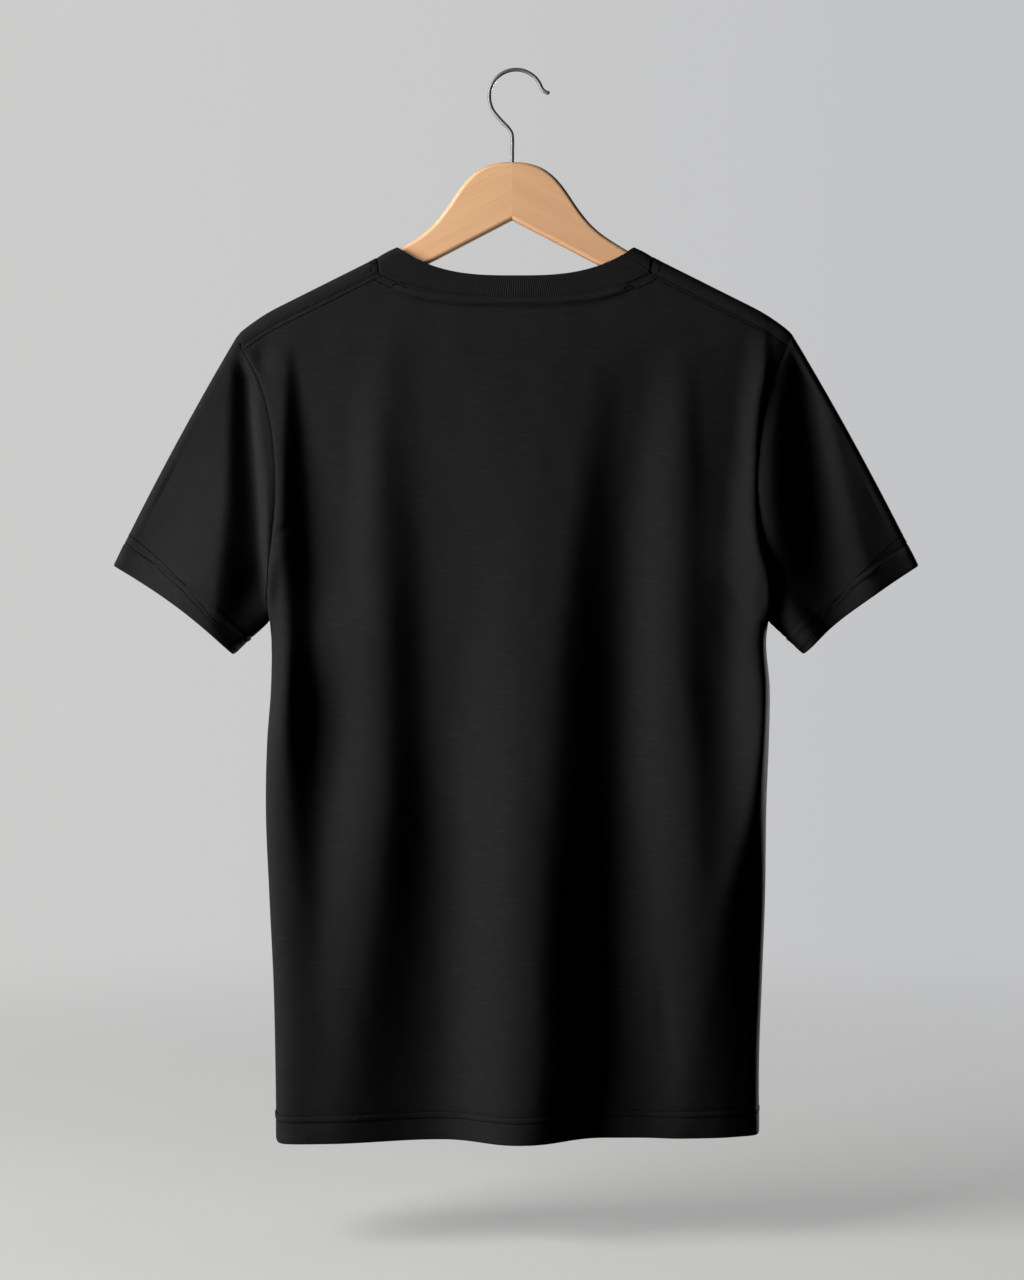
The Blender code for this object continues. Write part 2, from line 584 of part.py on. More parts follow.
def cloth_wall(piece, facing):
    """A closed wall: the outer face, the inner face and the rims between them."""
    drawn_back = [Vector() for _ in piece.points]
    edges = piece.open_edges()
    for a, b, normal in edges:
        if all(len(facing[piece.keys[i]]) > 1 for i in (a, b)):
            inward = normal.cross(piece.points[b] - piece.points[a]).normalized()
            drawn_back[a] += inward
            drawn_back[b] += inward
    bm = bmesh.new()
    outer, inner = [], []
    for place, key, back in zip(piece.points, piece.keys, drawn_back):
        if back.length:
            place = place + back.normalized() * GAP / 2
        outer.append(bm.verts.new(place))
        way = through_cloth(piece.name, facing[key])
        inner.append(bm.verts.new(place - way * piece.thickness))
    for quad in piece.quads:
        for corners in piece.triangles(quad):
            bm.faces.new([outer[i] for i in corners])
            bm.faces.new([inner[i] for i in reversed(corners)])
    for a, b, _ in edges:
        bm.faces.new([outer[b], outer[a], inner[a], inner[b]])
    mesh = bpy.data.meshes.new(piece.name)
    bm.to_mesh(mesh)
    bm.free()
    mesh.shade_smooth()
    return mesh


def cloth_pieces():
    """The five cut pieces, with the points that they share along their seams."""
    back_rows, front_rows = body_grid("back"), body_grid("front")
    over = {side: shoulder_grid(side) for side in (1, -1)}

    back = Piece("back_panel", CLOTH)
    back.patch(back_rows, outward=False)
    front = Piece("front_panel", CLOTH)
    front.patch(front_rows)
    for side in (1, -1):
        front.patch(over[side])
    pieces = [back, front]

    for sleeve in SLEEVES:
        armhole = armhole_points(sleeve.side, back_rows, front_rows, over[sleeve.side])
        piece = Piece(sleeve.name, CLOTH)
        piece.patch(sleeve_grid(sleeve, armhole), outward=sleeve.side > 0, closed=True)
        pieces.append(piece)

    seam, places = [], []
    place = columns_across()
    first, last = SHOULDER_COLUMNS, SHOULDER_COLUMNS + NECK_COLUMNS
    for i in range(first, last + 1):
        seam.append(back_rows[-1][i])
        places.append(("back", place[i] / NECK_SHARE))
    for row in range(ARCH_ROWS, -1, -1):
        seam.append(over[1][row][0])
        places.append(("arch", (1, row)))
    for i in range(last - 1, first, -1):
        seam.append(front_rows[-1][i])
        places.append(("front", place[i] / NECK_SHARE))
    for row in range(ARCH_ROWS + 1):
        seam.append(over[-1][row][-1])
        places.append(("arch", (-1, row)))
    band = Piece("neckband", RIB)
    band.patch(band_grid(seam, places), outward=False, closed=True)
    pieces.append(band)
    return pieces


def shirt(collection, material):
    """The shirt's pieces as closed walls."""
    pieces = cloth_pieces()
    facing = facing_at(pieces)
    for piece in pieces:
        mesh = cloth_wall(piece, facing)
        mesh.materials.append(material[piece.name])
        collection.objects.link(bpy.data.objects.new(piece.name, mesh))


def under_edge(x):
    """Height of the hanger's straight underside."""
    return APEX_UNDER - UNDER_SLOPE * abs(x - HANGER_X)


def hanger_side(side):
    """One side of the hanger's outline, from its dome round the tip to the underside."""
    points = [(HANGER_X + side * row.half_width, APEX_TOP - row.below) for row in HEAD]
    for x in np.linspace(ARM_START, ARM_END, ARM_STEPS):
        points.append((side * x, float(shoulder_line(x)) - WOOD_DROP))
    tilt = np.arctan(UNDER_SLOPE)
    down_arm = np.array([np.cos(tilt), -np.sin(tilt)])
    up = np.array([np.sin(tilt), np.cos(tilt)])
    top = np.array([ARM_END, points[-1][1]])
    radius = (top[1] - under_edge(side * ARM_END)) * np.cos(tilt) / 2
    middle = top - radius * up
    for turn in np.linspace(np.pi / 2, -np.pi / 2, TIP_STEPS + 1)[1:]:
        x, z = middle + radius * (np.cos(turn) * down_arm + np.sin(turn) * up)
        points.append((side * x, z))
    return points


def hanger_outline():
    """The whole outline, clockwise from the top of the dome."""
    left, right = hanger_side(1), hanger_side(-1)
    return [(HANGER_X, APEX_TOP)] + left + [(HANGER_X, APEX_UNDER)] + right[::-1]


def plate(name, outline, thickness, edge_radius):
    """The mesh of a plate of that outline in the x-z plane, its long edges rounded."""
    curve = bpy.data.curves.new(name, "CURVE")
    curve.dimensions = "2D"
    curve.fill_mode = "BOTH"
    curve.extrude = thickness / 2 - edge_radius
    curve.bevel_depth = edge_radius
    curve.offset = -edge_radius
    curve.bevel_resolution = EDGE_RESOLUTION
    spline = curve.splines.new("POLY")
    spline.points.add(len(outline) - 1)
    for point, (x, z) in zip(spline.points, outline):
        point.co = (x, z, 0.0, 1.0)
    spline.use_cyclic_u = True
    flat = bpy.data.objects.new(name, curve)
    bpy.context.scene.collection.objects.link(flat)
    flat.rotation_euler = (np.pi / 2, 0.0, 0.0)
    bpy.context.view_layer.update()
    graph = bpy.context.evaluated_depsgraph_get()
    mesh = bpy.data.meshes.new_from_object(flat.evaluated_get(graph))
    mesh.transform(flat.matrix_world)
    bpy.data.objects.remove(flat)
    bm = bmesh.new()
    bm.from_mesh(mesh)
    bmesh.ops.remove_doubles(bm, verts=bm.verts, dist=WOOD_WELD)
    bmesh.ops.recalc_face_normals(bm, faces=bm.faces)
    bm.to_mesh(mesh)
    bm.free()
    return mesh


def half_of(mesh, side, name):
    """One side of the hanger, cut off at the mitre."""
    bm = bmesh.new()
    bm.from_mesh(mesh)
    everything = bm.verts[:] + bm.edges[:] + bm.faces[:]
    cut = bmesh.ops.bisect_plane(
        bm, geom=everything, plane_co=(HANGER_X + side * MITRE_GAP / 2, 0, 0),
        plane_no=(side, 0, 0), clear_inner=True, dist=SAW_WELD)
    rim = [edge for edge in cut["geom_cut"] if isinstance(edge, bmesh.types.BMEdge)]
    bmesh.ops.edgeloop_fill(bm, edges=rim)
    bmesh.ops.recalc_face_normals(bm, faces=bm.faces)
    half = bpy.data.meshes.new(name)
    bm.to_mesh(half)
    bm.free()
    return half


def hanger(collection, cutters, material):
    """The two mitred halves, with the hole for the hook's stem drilled down the joint."""
    whole = plate("hanger", hanger_outline(), WOOD, WOOD_EDGE)
    drill_end = APEX_TOP - STEM_DEPTH - STEM_CLEARANCE
    bpy.ops.mesh.primitive_cylinder_add(
        vertices=HOLE_SIDES, radius=WIRE / 2 + STEM_CLEARANCE,
        depth=APEX_TOP + DRILL_ABOVE - drill_end,
        location=(HANGER_X, 0, (APEX_TOP + DRILL_ABOVE + drill_end) / 2))
    drill = bpy.context.object
    drill.name = "stem_hole"
    drill.hide_render = True
    drill.display_type = "WIRE"
    for owner in list(drill.users_collection):
        owner.objects.unlink(drill)
    cutters.objects.link(drill)
    for name, side in (("hanger_left", 1), ("hanger_right", -1)):
        half = bpy.data.objects.new(name, half_of(whole, side, name))
        half.data.materials.clear()
        half.data.materials.append(material[name])
        collection.objects.link(half)
        hole = half.modifiers.new("stem hole", "BOOLEAN")
        hole.object = drill
        hole.solver = "EXACT"
    bpy.data.meshes.remove(whole)


def hook_route():
    """The middle of the hook's wire, from the end of its stem to its tip."""
    crown_z = WIRE / 2 - CROWN_RADIUS
    route = [(HANGER_X, APEX_TOP - STEM_DEPTH), (HANGER_X, (APEX_TOP + STEM_TOP) / 2)]
    route.append((HANGER_X, STEM_TOP))
    route += [(bend.x, bend.z) for bend in NECK_OF_HOOK]
    for turn in np.radians(np.linspace(CROWN_START, CROWN_END, CROWN_STEPS)):
        route.append((CROWN_X + CROWN_RADIUS * np.cos(turn), crown_z + CROWN_RADIUS * np.sin(turn)))
    route += [(bend.x, bend.z) for bend in TIP_OF_HOOK]
    return np.array(route)


def read_curve(route, apart):
    """Points a distance apart along a smooth curve through the route's points."""
    steps = np.linalg.norm(np.diff(route, axis=0), axis=1)
    at = np.concatenate([[0.0], np.cumsum(steps)])
    return read(at, route, np.linspace(0.0, at[-1], int(at[-1] / apart) + 1))


def hook(collection, material):
    """The wire hook, its end rounded off."""
    points = read_curve(hook_route(), POINTS_APART)
    last = points[-1] - points[-2]
    points = np.vstack([points, points[-1] + last / np.linalg.norm(last) * TIP_LENGTH])
    curve = bpy.data.curves.new("hanger_hook", "CURVE")
    curve.dimensions = "3D"
    curve.bevel_depth = WIRE / 2
    curve.bevel_resolution = WIRE_RESOLUTION
    curve.use_fill_caps = True
    spline = curve.splines.new("POLY")
    spline.points.add(len(points) - 1)
    for point, (x, z) in zip(spline.points, points):
        point.co = (x, 0.0, z, 1.0)
    spline.points[len(points) - 1].radius = TIP_TAPER
    curve.materials.append(material["hanger_hook"])
    collection.objects.link(bpy.data.objects.new("hanger_hook", curve))


def finished(name, finish):
    """A Principled material of that finish."""
    made = bpy.data.materials.new(name)
    made.use_nodes = True
    shader = made.node_tree.nodes["Principled BSDF"]
    shader.inputs["Base Color"].default_value = (*finish.colour, 1.0)
    shader.inputs["Roughness"].default_value = finish.roughness
    shader.inputs["Metallic"].default_value = finish.metallic
    return made


def main():
    for left_over in list(bpy.data.objects):
        bpy.data.objects.remove(left_over)
    collection = bpy.data.collections.new("crew_neck_t_shirt_on_hanger")
    cutters = bpy.data.collections.new("cutters")
    bpy.context.scene.collection.children.link(collection)
    bpy.context.scene.collection.children.link(cutters)
    material = {
        "front_panel": finished("front jersey", JERSEY),
        "back_panel": finished("back jersey", JERSEY),
        "sleeve_left": finished("left sleeve jersey", JERSEY),
        "sleeve_right": finished("right sleeve jersey", JERSEY),
        "neckband": finished("neckband rib", BAND_RIB),
        "hanger_left": finished("left hanger wood", LEFT_WOOD),
        "hanger_right": finished("right hanger wood", RIGHT_WOOD),
        "hanger_hook": finished("hook steel", STEEL),
    }
    shirt(collection, material)
    hanger(collection, cutters, material)
    hook(collection, material)


main()
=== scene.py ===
"""Looks of the crew neck t-shirt on its wooden hanger.

Every cut piece of the shirt is a sheet of jersey on the form of its solid, with its folds, seams,
turned-up hems and stitching. The wearer's front faces -Y, the back +Y and the wearer's left is +X.
"""
import math
from collections import namedtuple

import bpy
import numpy as np
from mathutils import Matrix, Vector
from mathutils.bvhtree import BVHTree
from mathutils.kdtree import KDTree


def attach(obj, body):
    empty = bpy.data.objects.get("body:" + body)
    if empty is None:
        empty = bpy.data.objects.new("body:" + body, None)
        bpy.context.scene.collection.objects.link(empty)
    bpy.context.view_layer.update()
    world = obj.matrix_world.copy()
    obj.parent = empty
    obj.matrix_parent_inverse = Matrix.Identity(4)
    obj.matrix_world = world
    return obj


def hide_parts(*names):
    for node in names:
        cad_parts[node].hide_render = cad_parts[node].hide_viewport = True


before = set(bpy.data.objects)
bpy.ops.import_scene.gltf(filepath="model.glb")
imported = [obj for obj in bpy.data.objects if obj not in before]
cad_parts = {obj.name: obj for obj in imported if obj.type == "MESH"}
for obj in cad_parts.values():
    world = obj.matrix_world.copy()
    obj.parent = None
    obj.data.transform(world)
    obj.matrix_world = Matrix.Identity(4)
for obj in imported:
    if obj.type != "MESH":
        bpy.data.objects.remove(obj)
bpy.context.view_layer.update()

# ---------------------------------------------------------------- the shirt's form, as its solids have it
HEM = -0.870
ARMPIT = -0.452
SHOULDER_X = 0.116          # a point on the straight part of the shoulder
SHOULDER_Z = -0.1542
SHOULDER_SLOPE = 0.501
TIP_X = 0.195               # past this the shoulder drops round the hanger's tip
TIP_DROP = 5.3              # metres of drop per square metre past it
ARCH = 0.0102               # half the thickness of the cloth that is folded over the hanger
ARCH_SQUARE = 0.85          # under 1 the fold is squarer than a half circle
SEAM_DROP = 0.0148          # from the shoulder line down the back to the shoulder seam
ARMHOLE_TOP = 0.2276        # where the armhole crosses the shoulder line
NECK_SHARE = 0.4945         # neck seam, as a share of the shoulder's width
NECK_BACK = -0.1863         # lowest point of the neck seam at the back
NECK_FRONT = -0.2560        # and at the front
NECK_BACK_POWER = 3.0
NECK_FRONT_POWER = 2.2
BAND_X = 0.0970             # where the neckband's edge crosses the shoulder line
BAND_Z = -0.1443
BAND_INWARD = 0.0075        # how far that edge moves in as it comes off the hanger
BAND_FALL = 0.0060          # and how far it falls
BAND_BACK = -0.1681         # lowest point of the neckband's edge at the back
BAND_FRONT = -0.2370        # and at the front
BAND_CORNER = 0.0018        # from the hanger's fold to the first point on the flat of back or front
BAND_LEAN = 0.0035          # how far the edge leans in at the middle of back and front
BAND_CROWN = 0.0008         # how far the band rounds out between seam and edge

# left and right: where the side seam or armhole lies. back and front: depth of the middle.
# square: how square the section is on each side. soft: 0.5 rounds into the side seam, 1 stays open.
Section = namedtuple("Section", "height left right back front square_left square_right soft")
SECTIONS = (
    Section(-0.870, 0.1948, -0.1997, 0.072, 0.066, 60.0, 50.0, 0.50),
    Section(-0.810, 0.1956, -0.1998, 0.071, 0.065, 60.0, 50.0, 0.50),
    Section(-0.745, 0.1972, -0.2021, 0.069, 0.063, 60.0, 50.0, 0.50),
    Section(-0.679, 0.2005, -0.2046, 0.066, 0.061, 60.0, 50.0, 0.50),
    Section(-0.597, 0.2038, -0.2058, 0.062, 0.057, 60.0, 50.0, 0.50),
    Section(-0.548, 0.2030, -0.2079, 0.059, 0.055, 44.0, 36.0, 0.50),
    Section(-0.507, 0.2005, -0.2087, 0.056, 0.052, 24.0, 20.0, 0.50),
    Section(-0.466, 0.2005, -0.2058, 0.053, 0.050, 9.0, 8.0, 0.50),
    Section(-0.437, 0.2032, -0.2095, 0.051, 0.048, 5.0, 5.0, 0.56),
    Section(-0.412, 0.2018, -0.2080, 0.049, 0.046, 3.8, 3.8, 0.66),
    Section(-0.384, 0.1985, -0.2007, 0.046, 0.043, 3.1, 3.1, 0.78),
    Section(-0.350, 0.1957, -0.1971, 0.042, 0.039, 2.6, 2.6, 0.90),
    Section(-0.316, 0.1970, -0.1990, 0.036, 0.034, 2.3, 2.3, 1.00),
    Section(-0.285, 0.2015, -0.2035, 0.030, 0.029, 2.1, 2.1, 1.00),
    Section(-0.254, 0.2112, -0.2120, 0.024, 0.025, 2.0, 2.0, 1.00),
    Section(-0.228, 0.2251, -0.2235, 0.0185, 0.020, 2.0, 2.0, 1.00),
    Section(-0.2165, 0.2276, -0.2262, 0.0165, 0.0185, 2.0, 2.0, 1.00),
    Section(-0.186, 0.2276, -0.2262, 0.0122, 0.0135, 2.0, 2.0, 1.00),
    Section(-0.160, 0.2276, -0.2262, 0.0102, 0.0102, 2.0, 2.0, 1.00),
)

# An opening is a ring of cloth, from its lowest point (0) to its top (1). Its depth rises round a
# quarter of an ellipse over the lowest share, then falls to the depth of the fold at the top.
Opening = namedtuple("Opening", "share deep top")
ARMHOLE = Opening(0.32, 0.0250, ARCH)
CUFF = Opening(0.26, 0.0330, 0.0085)

# A fold is a valley that runs down the cloth. Its place, the reach of its two sides and its depth
# are given at five even steps from its top to its bottom. left is the side towards +X.
Fold = namedtuple("Fold", "piece top bottom place left right depth run_in run_out")
FOLDS = (
    Fold("front", -0.250, -0.780, (0.162, 0.156, 0.150, 0.146, 0.142),
         (0.022, 0.028, 0.030, 0.030, 0.030), (0.022, 0.026, 0.030, 0.034, 0.036),
         (0.004, 0.014, 0.017, 0.014, 0.009), 0.20, 0.40),
    Fold("front", -0.310, -0.900, (0.034, 0.040, 0.046, 0.050, 0.052),
         (0.018, 0.026, 0.034, 0.040, 0.046), (0.018, 0.026, 0.038, 0.048, 0.056),
         (0.002, 0.010, 0.018, 0.024, 0.028), 0.18, 0.00),
    Fold("front", -0.290, -0.900, (-0.058, -0.066, -0.068, -0.066, -0.063),
         (0.016, 0.022, 0.028, 0.034, 0.038), (0.018, 0.024, 0.032, 0.038, 0.042),
         (0.002, 0.008, 0.013, 0.017, 0.019), 0.18, 0.00),
    Fold("front", -0.245, -0.740, (-0.148, -0.154, -0.157, -0.155, -0.150),
         (0.018, 0.024, 0.028, 0.030, 0.030), (0.020, 0.024, 0.026, 0.028, 0.028),
         (0.004, 0.013, 0.018, 0.014, 0.009), 0.20, 0.45),
    Fold("sleeve_left_back", -0.222, -0.480, (0.2225, 0.2188, 0.2140, 0.2115, 0.2035),
         (0.008, 0.016, 0.025, 0.035, 0.046), (0.006, 0.009, 0.012, 0.012, 0.011),
         (0.006, 0.012, 0.017, 0.020, 0.020), 0.07, 0.00),
    Fold("sleeve_left_front", -0.236, -0.480, (0.226, 0.225, 0.224, 0.224, 0.222),
         (0.010, 0.018, 0.026, 0.034, 0.040), (0.008, 0.014, 0.018, 0.020, 0.020),
         (0.002, 0.008, 0.012, 0.015, 0.015), 0.20, 0.00),
    Fold("sleeve_right_back", -0.222, -0.480, (-0.234, -0.239, -0.244, -0.252, -0.266),
         (0.015, 0.030, 0.040, 0.050, 0.058), (0.010, 0.019, 0.030, 0.042, 0.048),
         (0.006, 0.015, 0.020, 0.023, 0.022), 0.09, 0.00),
    Fold("sleeve_right_front", -0.236, -0.480, (-0.226, -0.226, -0.228, -0.230, -0.232),
         (0.008, 0.014, 0.020, 0.022, 0.022), (0.010, 0.020, 0.028, 0.036, 0.042),
         (0.002, 0.008, 0.012, 0.013, 0.013), 0.20, 0.00),
)

# The back hangs in steps towards -X: each turns the cloth out, or in where it is below nought, by
# its rise over its width about its place. Eight values each, at even heights from top to bottom.
Step = namedtuple("Step", "piece top bottom place width rise")
STEPS = (
    Step("back", -0.222, -0.905, (0.184, 0.182, 0.179, 0.176, 0.171, 0.166, 0.165, 0.170),
         (0.010, 0.027, 0.041, 0.034, 0.036, 0.042, 0.045, 0.045),
         (0.0000, -0.0175, -0.0300, -0.0275, -0.0130, -0.0065, -0.0025, -0.0015)),
    Step("back", -0.190, -0.905, (0.114, 0.122, 0.128, 0.133, 0.135, 0.144, 0.165, 0.186),
         (0.050, 0.044, 0.041, 0.052, 0.054, 0.041, 0.035, 0.031),
         (0.0000, 0.0060, 0.0070, 0.0080, 0.0120, 0.0040, 0.0000, 0.0020)),
    Step("back", -0.200, -0.905, (0.109, 0.099, 0.093, 0.090, 0.089, 0.094, 0.104, 0.110),
         (0.094, 0.071, 0.056, 0.053, 0.054, 0.075, 0.104, 0.132),
         (0.0000, -0.0105, -0.0145, -0.0175, -0.0225, -0.0250, -0.0260, -0.0250)),
    Step("back", -0.200, -0.905, (0.004, 0.013, 0.020, 0.023, 0.025, 0.028, 0.028, 0.028),
         (0.178, 0.145, 0.114, 0.089, 0.085, 0.087, 0.078, 0.072),
         (0.0000, 0.0050, 0.0135, 0.0185, 0.0255, 0.0335, 0.0355, 0.0340)),
    Step("back", -0.225, -0.905, (-0.079, -0.068, -0.062, -0.058, -0.054, -0.049, -0.046, -0.034),
         (0.044, 0.052, 0.067, 0.087, 0.092, 0.088, 0.081, 0.079),
         (0.0000, -0.0085, -0.0220, -0.0340, -0.0420, -0.0450, -0.0450, -0.0405)),
    Step("back", -0.215, -0.905, (-0.128, -0.117, -0.110, -0.106, -0.106, -0.109, -0.122, -0.142),
         (0.041, 0.052, 0.070, 0.077, 0.091, 0.094, 0.090, 0.089),
         (0.0000, 0.0140, 0.0230, 0.0255, 0.0265, 0.0255, 0.0210, 0.0135)),
    Step("back", -0.225, -0.905, (-0.145, -0.147, -0.147, -0.151, -0.156, -0.155, -0.147, -0.136),
         (0.020, 0.025, 0.035, 0.045, 0.041, 0.048, 0.050, 0.044),
         (0.0000, -0.0030, -0.0025, -0.0110, -0.0065, -0.0030, -0.0065, -0.0120)),
    Step("back", -0.210, -0.905, (-0.199, -0.195, -0.192, -0.192, -0.201, -0.209, -0.217, -0.224),
         (0.031, 0.044, 0.061, 0.052, 0.061, 0.064, 0.063, 0.061),
         (0.0000, 0.0290, 0.0450, 0.0365, 0.0240, 0.0185, 0.0180, 0.0205)),
    Step("back", -0.205, -0.905, (-0.206, -0.208, -0.211, -0.210, -0.200, -0.186, -0.183, -0.180),
         (0.010, 0.010, 0.011, 0.018, 0.035, 0.066, 0.083, 0.095),
         (0.0000, -0.0195, -0.0270, -0.0290, -0.0300, -0.0290, -0.0250, -0.0225)),
)
EDGE_SQUARE = 40.0          # how close to a side seam folds keep their depth
FRONT_SQUARE = 9.0          # the front is never squarer than this at its sides
UNDERARM_RISE = 0.060       # height over which the cloth by an armhole takes up the armhole's depth
UNDERARM_EDGE = 0.05        # share of the half width that has it from the underarm on
EDGE_FADE = 0.06            # share of the half width over which folds die at an armhole

# out and low: the cuff's outer corner and its lowest corner. sag: how far the cuff's edge curves
# down on its way to the lowest corner.
Sleeve = namedtuple("Sleeve", "name side out_x out_z low_x low_z sag")
SLEEVES = (
    Sleeve("sleeve_left", 1, 0.3300, -0.4059, 0.2317, -0.4789, 0.0140),
    Sleeve("sleeve_right", -1, -0.3309, -0.4059, -0.2365, -0.4785, 0.0120),
)
CUFF_SAG_POWER = 3.5
CUFF_SEAM_SHARE = 0.985     # where the shoulder seam's point falls on the cuff
UNDERARM_FADE = 0.25        # share of the ring over which folds die at the underarm
ARMHOLE_FADE = 0.06         # share of the sleeve over which folds die at the armhole
SLEEVE_SWELL = 0.004        # extra depth half way down the sleeve
SLEEVE_BOW = 0.002          # how far the sleeve's top edge bows out
SLEEVE_RISE = 0.001         # and up
SLEEVE_TOP = 0.6            # share of the ring from which the cloth bows and rises with that edge

# ---------------------------------------------------------------- creases and unevenness of the cloth
# A crease is short: its middle, its lie in degrees from +X, its length, width and depth.
Crease = namedtuple("Crease", "piece x z lie length width depth")
CREASES = (
    Crease("back", 0.2080, -0.2340, 98, 0.050, 0.0160, 0.0034),
    Crease("back", -0.2160, -0.2360, 82, 0.045, 0.0120, -0.0030),
    Crease("back", 0.190, -0.378, -28, 0.034, 0.0060, 0.0022),
    Crease("back", 0.176, -0.392, -40, 0.030, 0.0080, 0.0016),
    Crease("back", -0.160, -0.508, 6, 0.046, 0.0060, 0.0010),
    Crease("back", -0.182, -0.436, 58, 0.060, 0.0110, 0.0022),
    Crease("back", -0.190, -0.330, 80, 0.070, 0.0100, 0.0018),
    Crease("back", 0.012, -0.240, 8, 0.060, 0.0160, 0.0006),
    Crease("back", -0.120, -0.770, 84, 0.120, 0.0140, 0.0020),
    Crease("front", 0.180, -0.400, 128, 0.070, 0.0110, 0.0024),
    Crease("front", -0.182, -0.410, 54, 0.066, 0.0110, 0.0024),
    Crease("front", 0.120, -0.262, -50, 0.080, 0.0150, 0.0020),
    Crease("front", -0.126, -0.268, 52, 0.080, 0.0150, 0.0020),
    Crease("front", 0.165, -0.560, 84, 0.110, 0.0130, 0.0022),
    Crease("front", -0.110, -0.690, 96, 0.130, 0.0150, 0.0022),
    Crease("sleeve_left_back", 0.205, -0.432, 70, 0.040, 0.0060, 0.0016),
    Crease("sleeve_left_back", 0.290, -0.345, 118, 0.080, 0.0160, 0.0010),
    Crease("sleeve_right_back", -0.214, -0.420, 112, 0.036, 0.0060, 0.0016),
    Crease("sleeve_right_back", -0.292, -0.350, 60, 0.080, 0.0160, 0.0010),
    Crease("sleeve_left_front", 0.262, -0.350, 112, 0.090, 0.0140, 0.0018),
    Crease("sleeve_right_front", -0.262, -0.350, 68, 0.090, 0.0140, 0.0018),
)
OFF_HANGER = 0.03           # below the hanger's fold the cloth takes on creases over this height
# The cloth is never quite even: waves of these heights, and of these counts per metre.
Wave = namedtuple("Wave", "height along_x along_z phase")
WAVES = (
    Wave(0.00017, 9.0, 2.1, 0.4),
    Wave(0.00014, 13.7, -3.4, 1.9),
    Wave(0.00010, 22.3, 4.7, 3.1),
    Wave(0.00008, -31.0, 9.5, 0.9),
    Wave(0.00004, 17.0, 27.0, 2.2),
    Wave(0.00003, -41.0, 19.0, 5.0),
    Wave(0.00003, 7.0, 58.0, 1.2),
    Wave(0.00002, 63.0, 12.0, 4.1),
)

# ---------------------------------------------------------------- cloth, hems, seams and stitches
CLOTH = 0.0009              # one layer of jersey
HEM_CLOTH = 0.0016          # the turned-up hem, two layers
RIB = 0.0018                # the doubled rib of the neckband
SEAM_GAP = 0.00003          # between two pieces along their seam
HEM_LINES = (0.0170, 0.0225)    # twin stitching above the hem's edge
CUFF_LINES = (0.0150, 0.0200)
GROOVE = 0.00042            # how deep a line of stitches draws the cloth in
GROOVE_WIDTH = 0.0010
TUNNEL = 0.00050            # how far the cloth rises between twin lines
DOUBLED = 0.00025           # how far the two layers of a hem stand out
EDGE_ROLL = 0.0005          # how far a hem's edge curls in
EDGE_ROLL_WIDTH = 0.0009
SEAM_ROLL = 0.0006          # how far the cloth dips into a seam
SEAM_ROLL_WIDTH = 0.0014
SEAM_TURN = 0.0100          # how near a seam the two pieces roll in side by side
PUCKER = 0.00014            # ripples along a line of stitches
PUCKER_LENGTH = 0.0085
PUCKER_REACH = 0.0060
PUCKER_UNEVEN = 0.35        # how much stronger and weaker the puckers get
PUCKER_SPELL = 0.047        # and over what length
PUCKER_WAY = (1.0, 0.3, 0.6)    # the direction they are counted along
LINE_STEP = 0.001           # height over which the cloth steps at a line of stitches
SEAM_FLATTEN = 0.98         # how far the cloth beside a seam is kept from moving sideways
SEAM_END = 0.06             # how far the last row over a shoulder is drawn back, as a share
WELD = 0.00002              # points of a piece closer than this are joined
SAME_PLACE = 1e-9           # shares of the width that count as the same

# Beside a seam the allowance is stitched down, so that the cloth over it stands up.
Allowance = namedtuple("Allowance", "width height groove lines taper taper_from")
NECK_ALLOWANCE = Allowance(0.0068, 0.00260, 0.0010, (0.0012, 0.0073), 1.0, 0.078)
SHOULDER_ALLOWANCE = Allowance(0.0034, 0.00035, GROOVE, (0.0028,), 0.0, 0.0)
TAPER_LENGTH = 0.024        # an allowance goes lower over this length, past taper_from
ALLOWANCE_EDGE = 0.0008
ABOVE_NECK = 0.05           # a point this far above the neckline is on the neck's side of its seam
OVERHEAD = np.array([0.0, 0.0, 0.5])    # and this one is above the shoulder seams

STITCH = 0.0015             # length of one stitch
STITCH_APART = 0.0028
STITCH_HALF_WIDE = 0.00062
STITCH_HALF_HIGH = 0.00024
STITCH_SIDES = 6
SKEW = ((0.12, 12.9), (0.05, 4.1))    # how unevenly stitches lie: size, and turn for each stitch
STITCH_RINGS = ((-1.0, 0.5), (-0.8, 1.0), (0.8, 1.0), (1.0, 0.5))

# ---------------------------------------------------------------- how finely the cloth is divided
HALF = 0.2000               # the half width that the columns are laid out on
COLUMN = 0.0026
ROW = 0.0042
UPPER_HEIGHT = 0.235
NEAR_EDGE = (0.0004, 0.0010, 0.0018, 0.0030)
NEAR_SEAM = (0.0004, 0.0009, 0.0014, 0.0022, 0.0036, 0.0045, 0.0050, 0.0055, 0.0060, 0.0065,
             0.0070, 0.0076, 0.0086)
ABOUT_LINE = (-0.0016, -0.0008, 0.0, 0.0008, 0.0016)
ABOVE_SHOULDER_SEAM = (0.0036, 0.0024, 0.0016, 0.0010, 0.0005, 0.0)
ARCH_ROWS = 16
SLEEVE_LENGTH = 0.150
BAND_ROWS = 14
BAND_TURN = 6               # steps round the neckband's folded edge
BAND_EVEN = 12              # rounds in which its points agree on their way out
BETWEEN_POINTS = 6          # places looked at between two points of a line
ACROSS = np.sin(np.linspace(-np.pi / 2, np.pi / 2, 1201))
ROUND_TO_FLAT = 0.45        # share of the armhole over which columns go over to even widths


def smooth(t):
    """0 to 1 with a level start and end."""
    t = np.clip(t, 0.0, 1.0)
    return t * t * (3.0 - 2.0 * t)


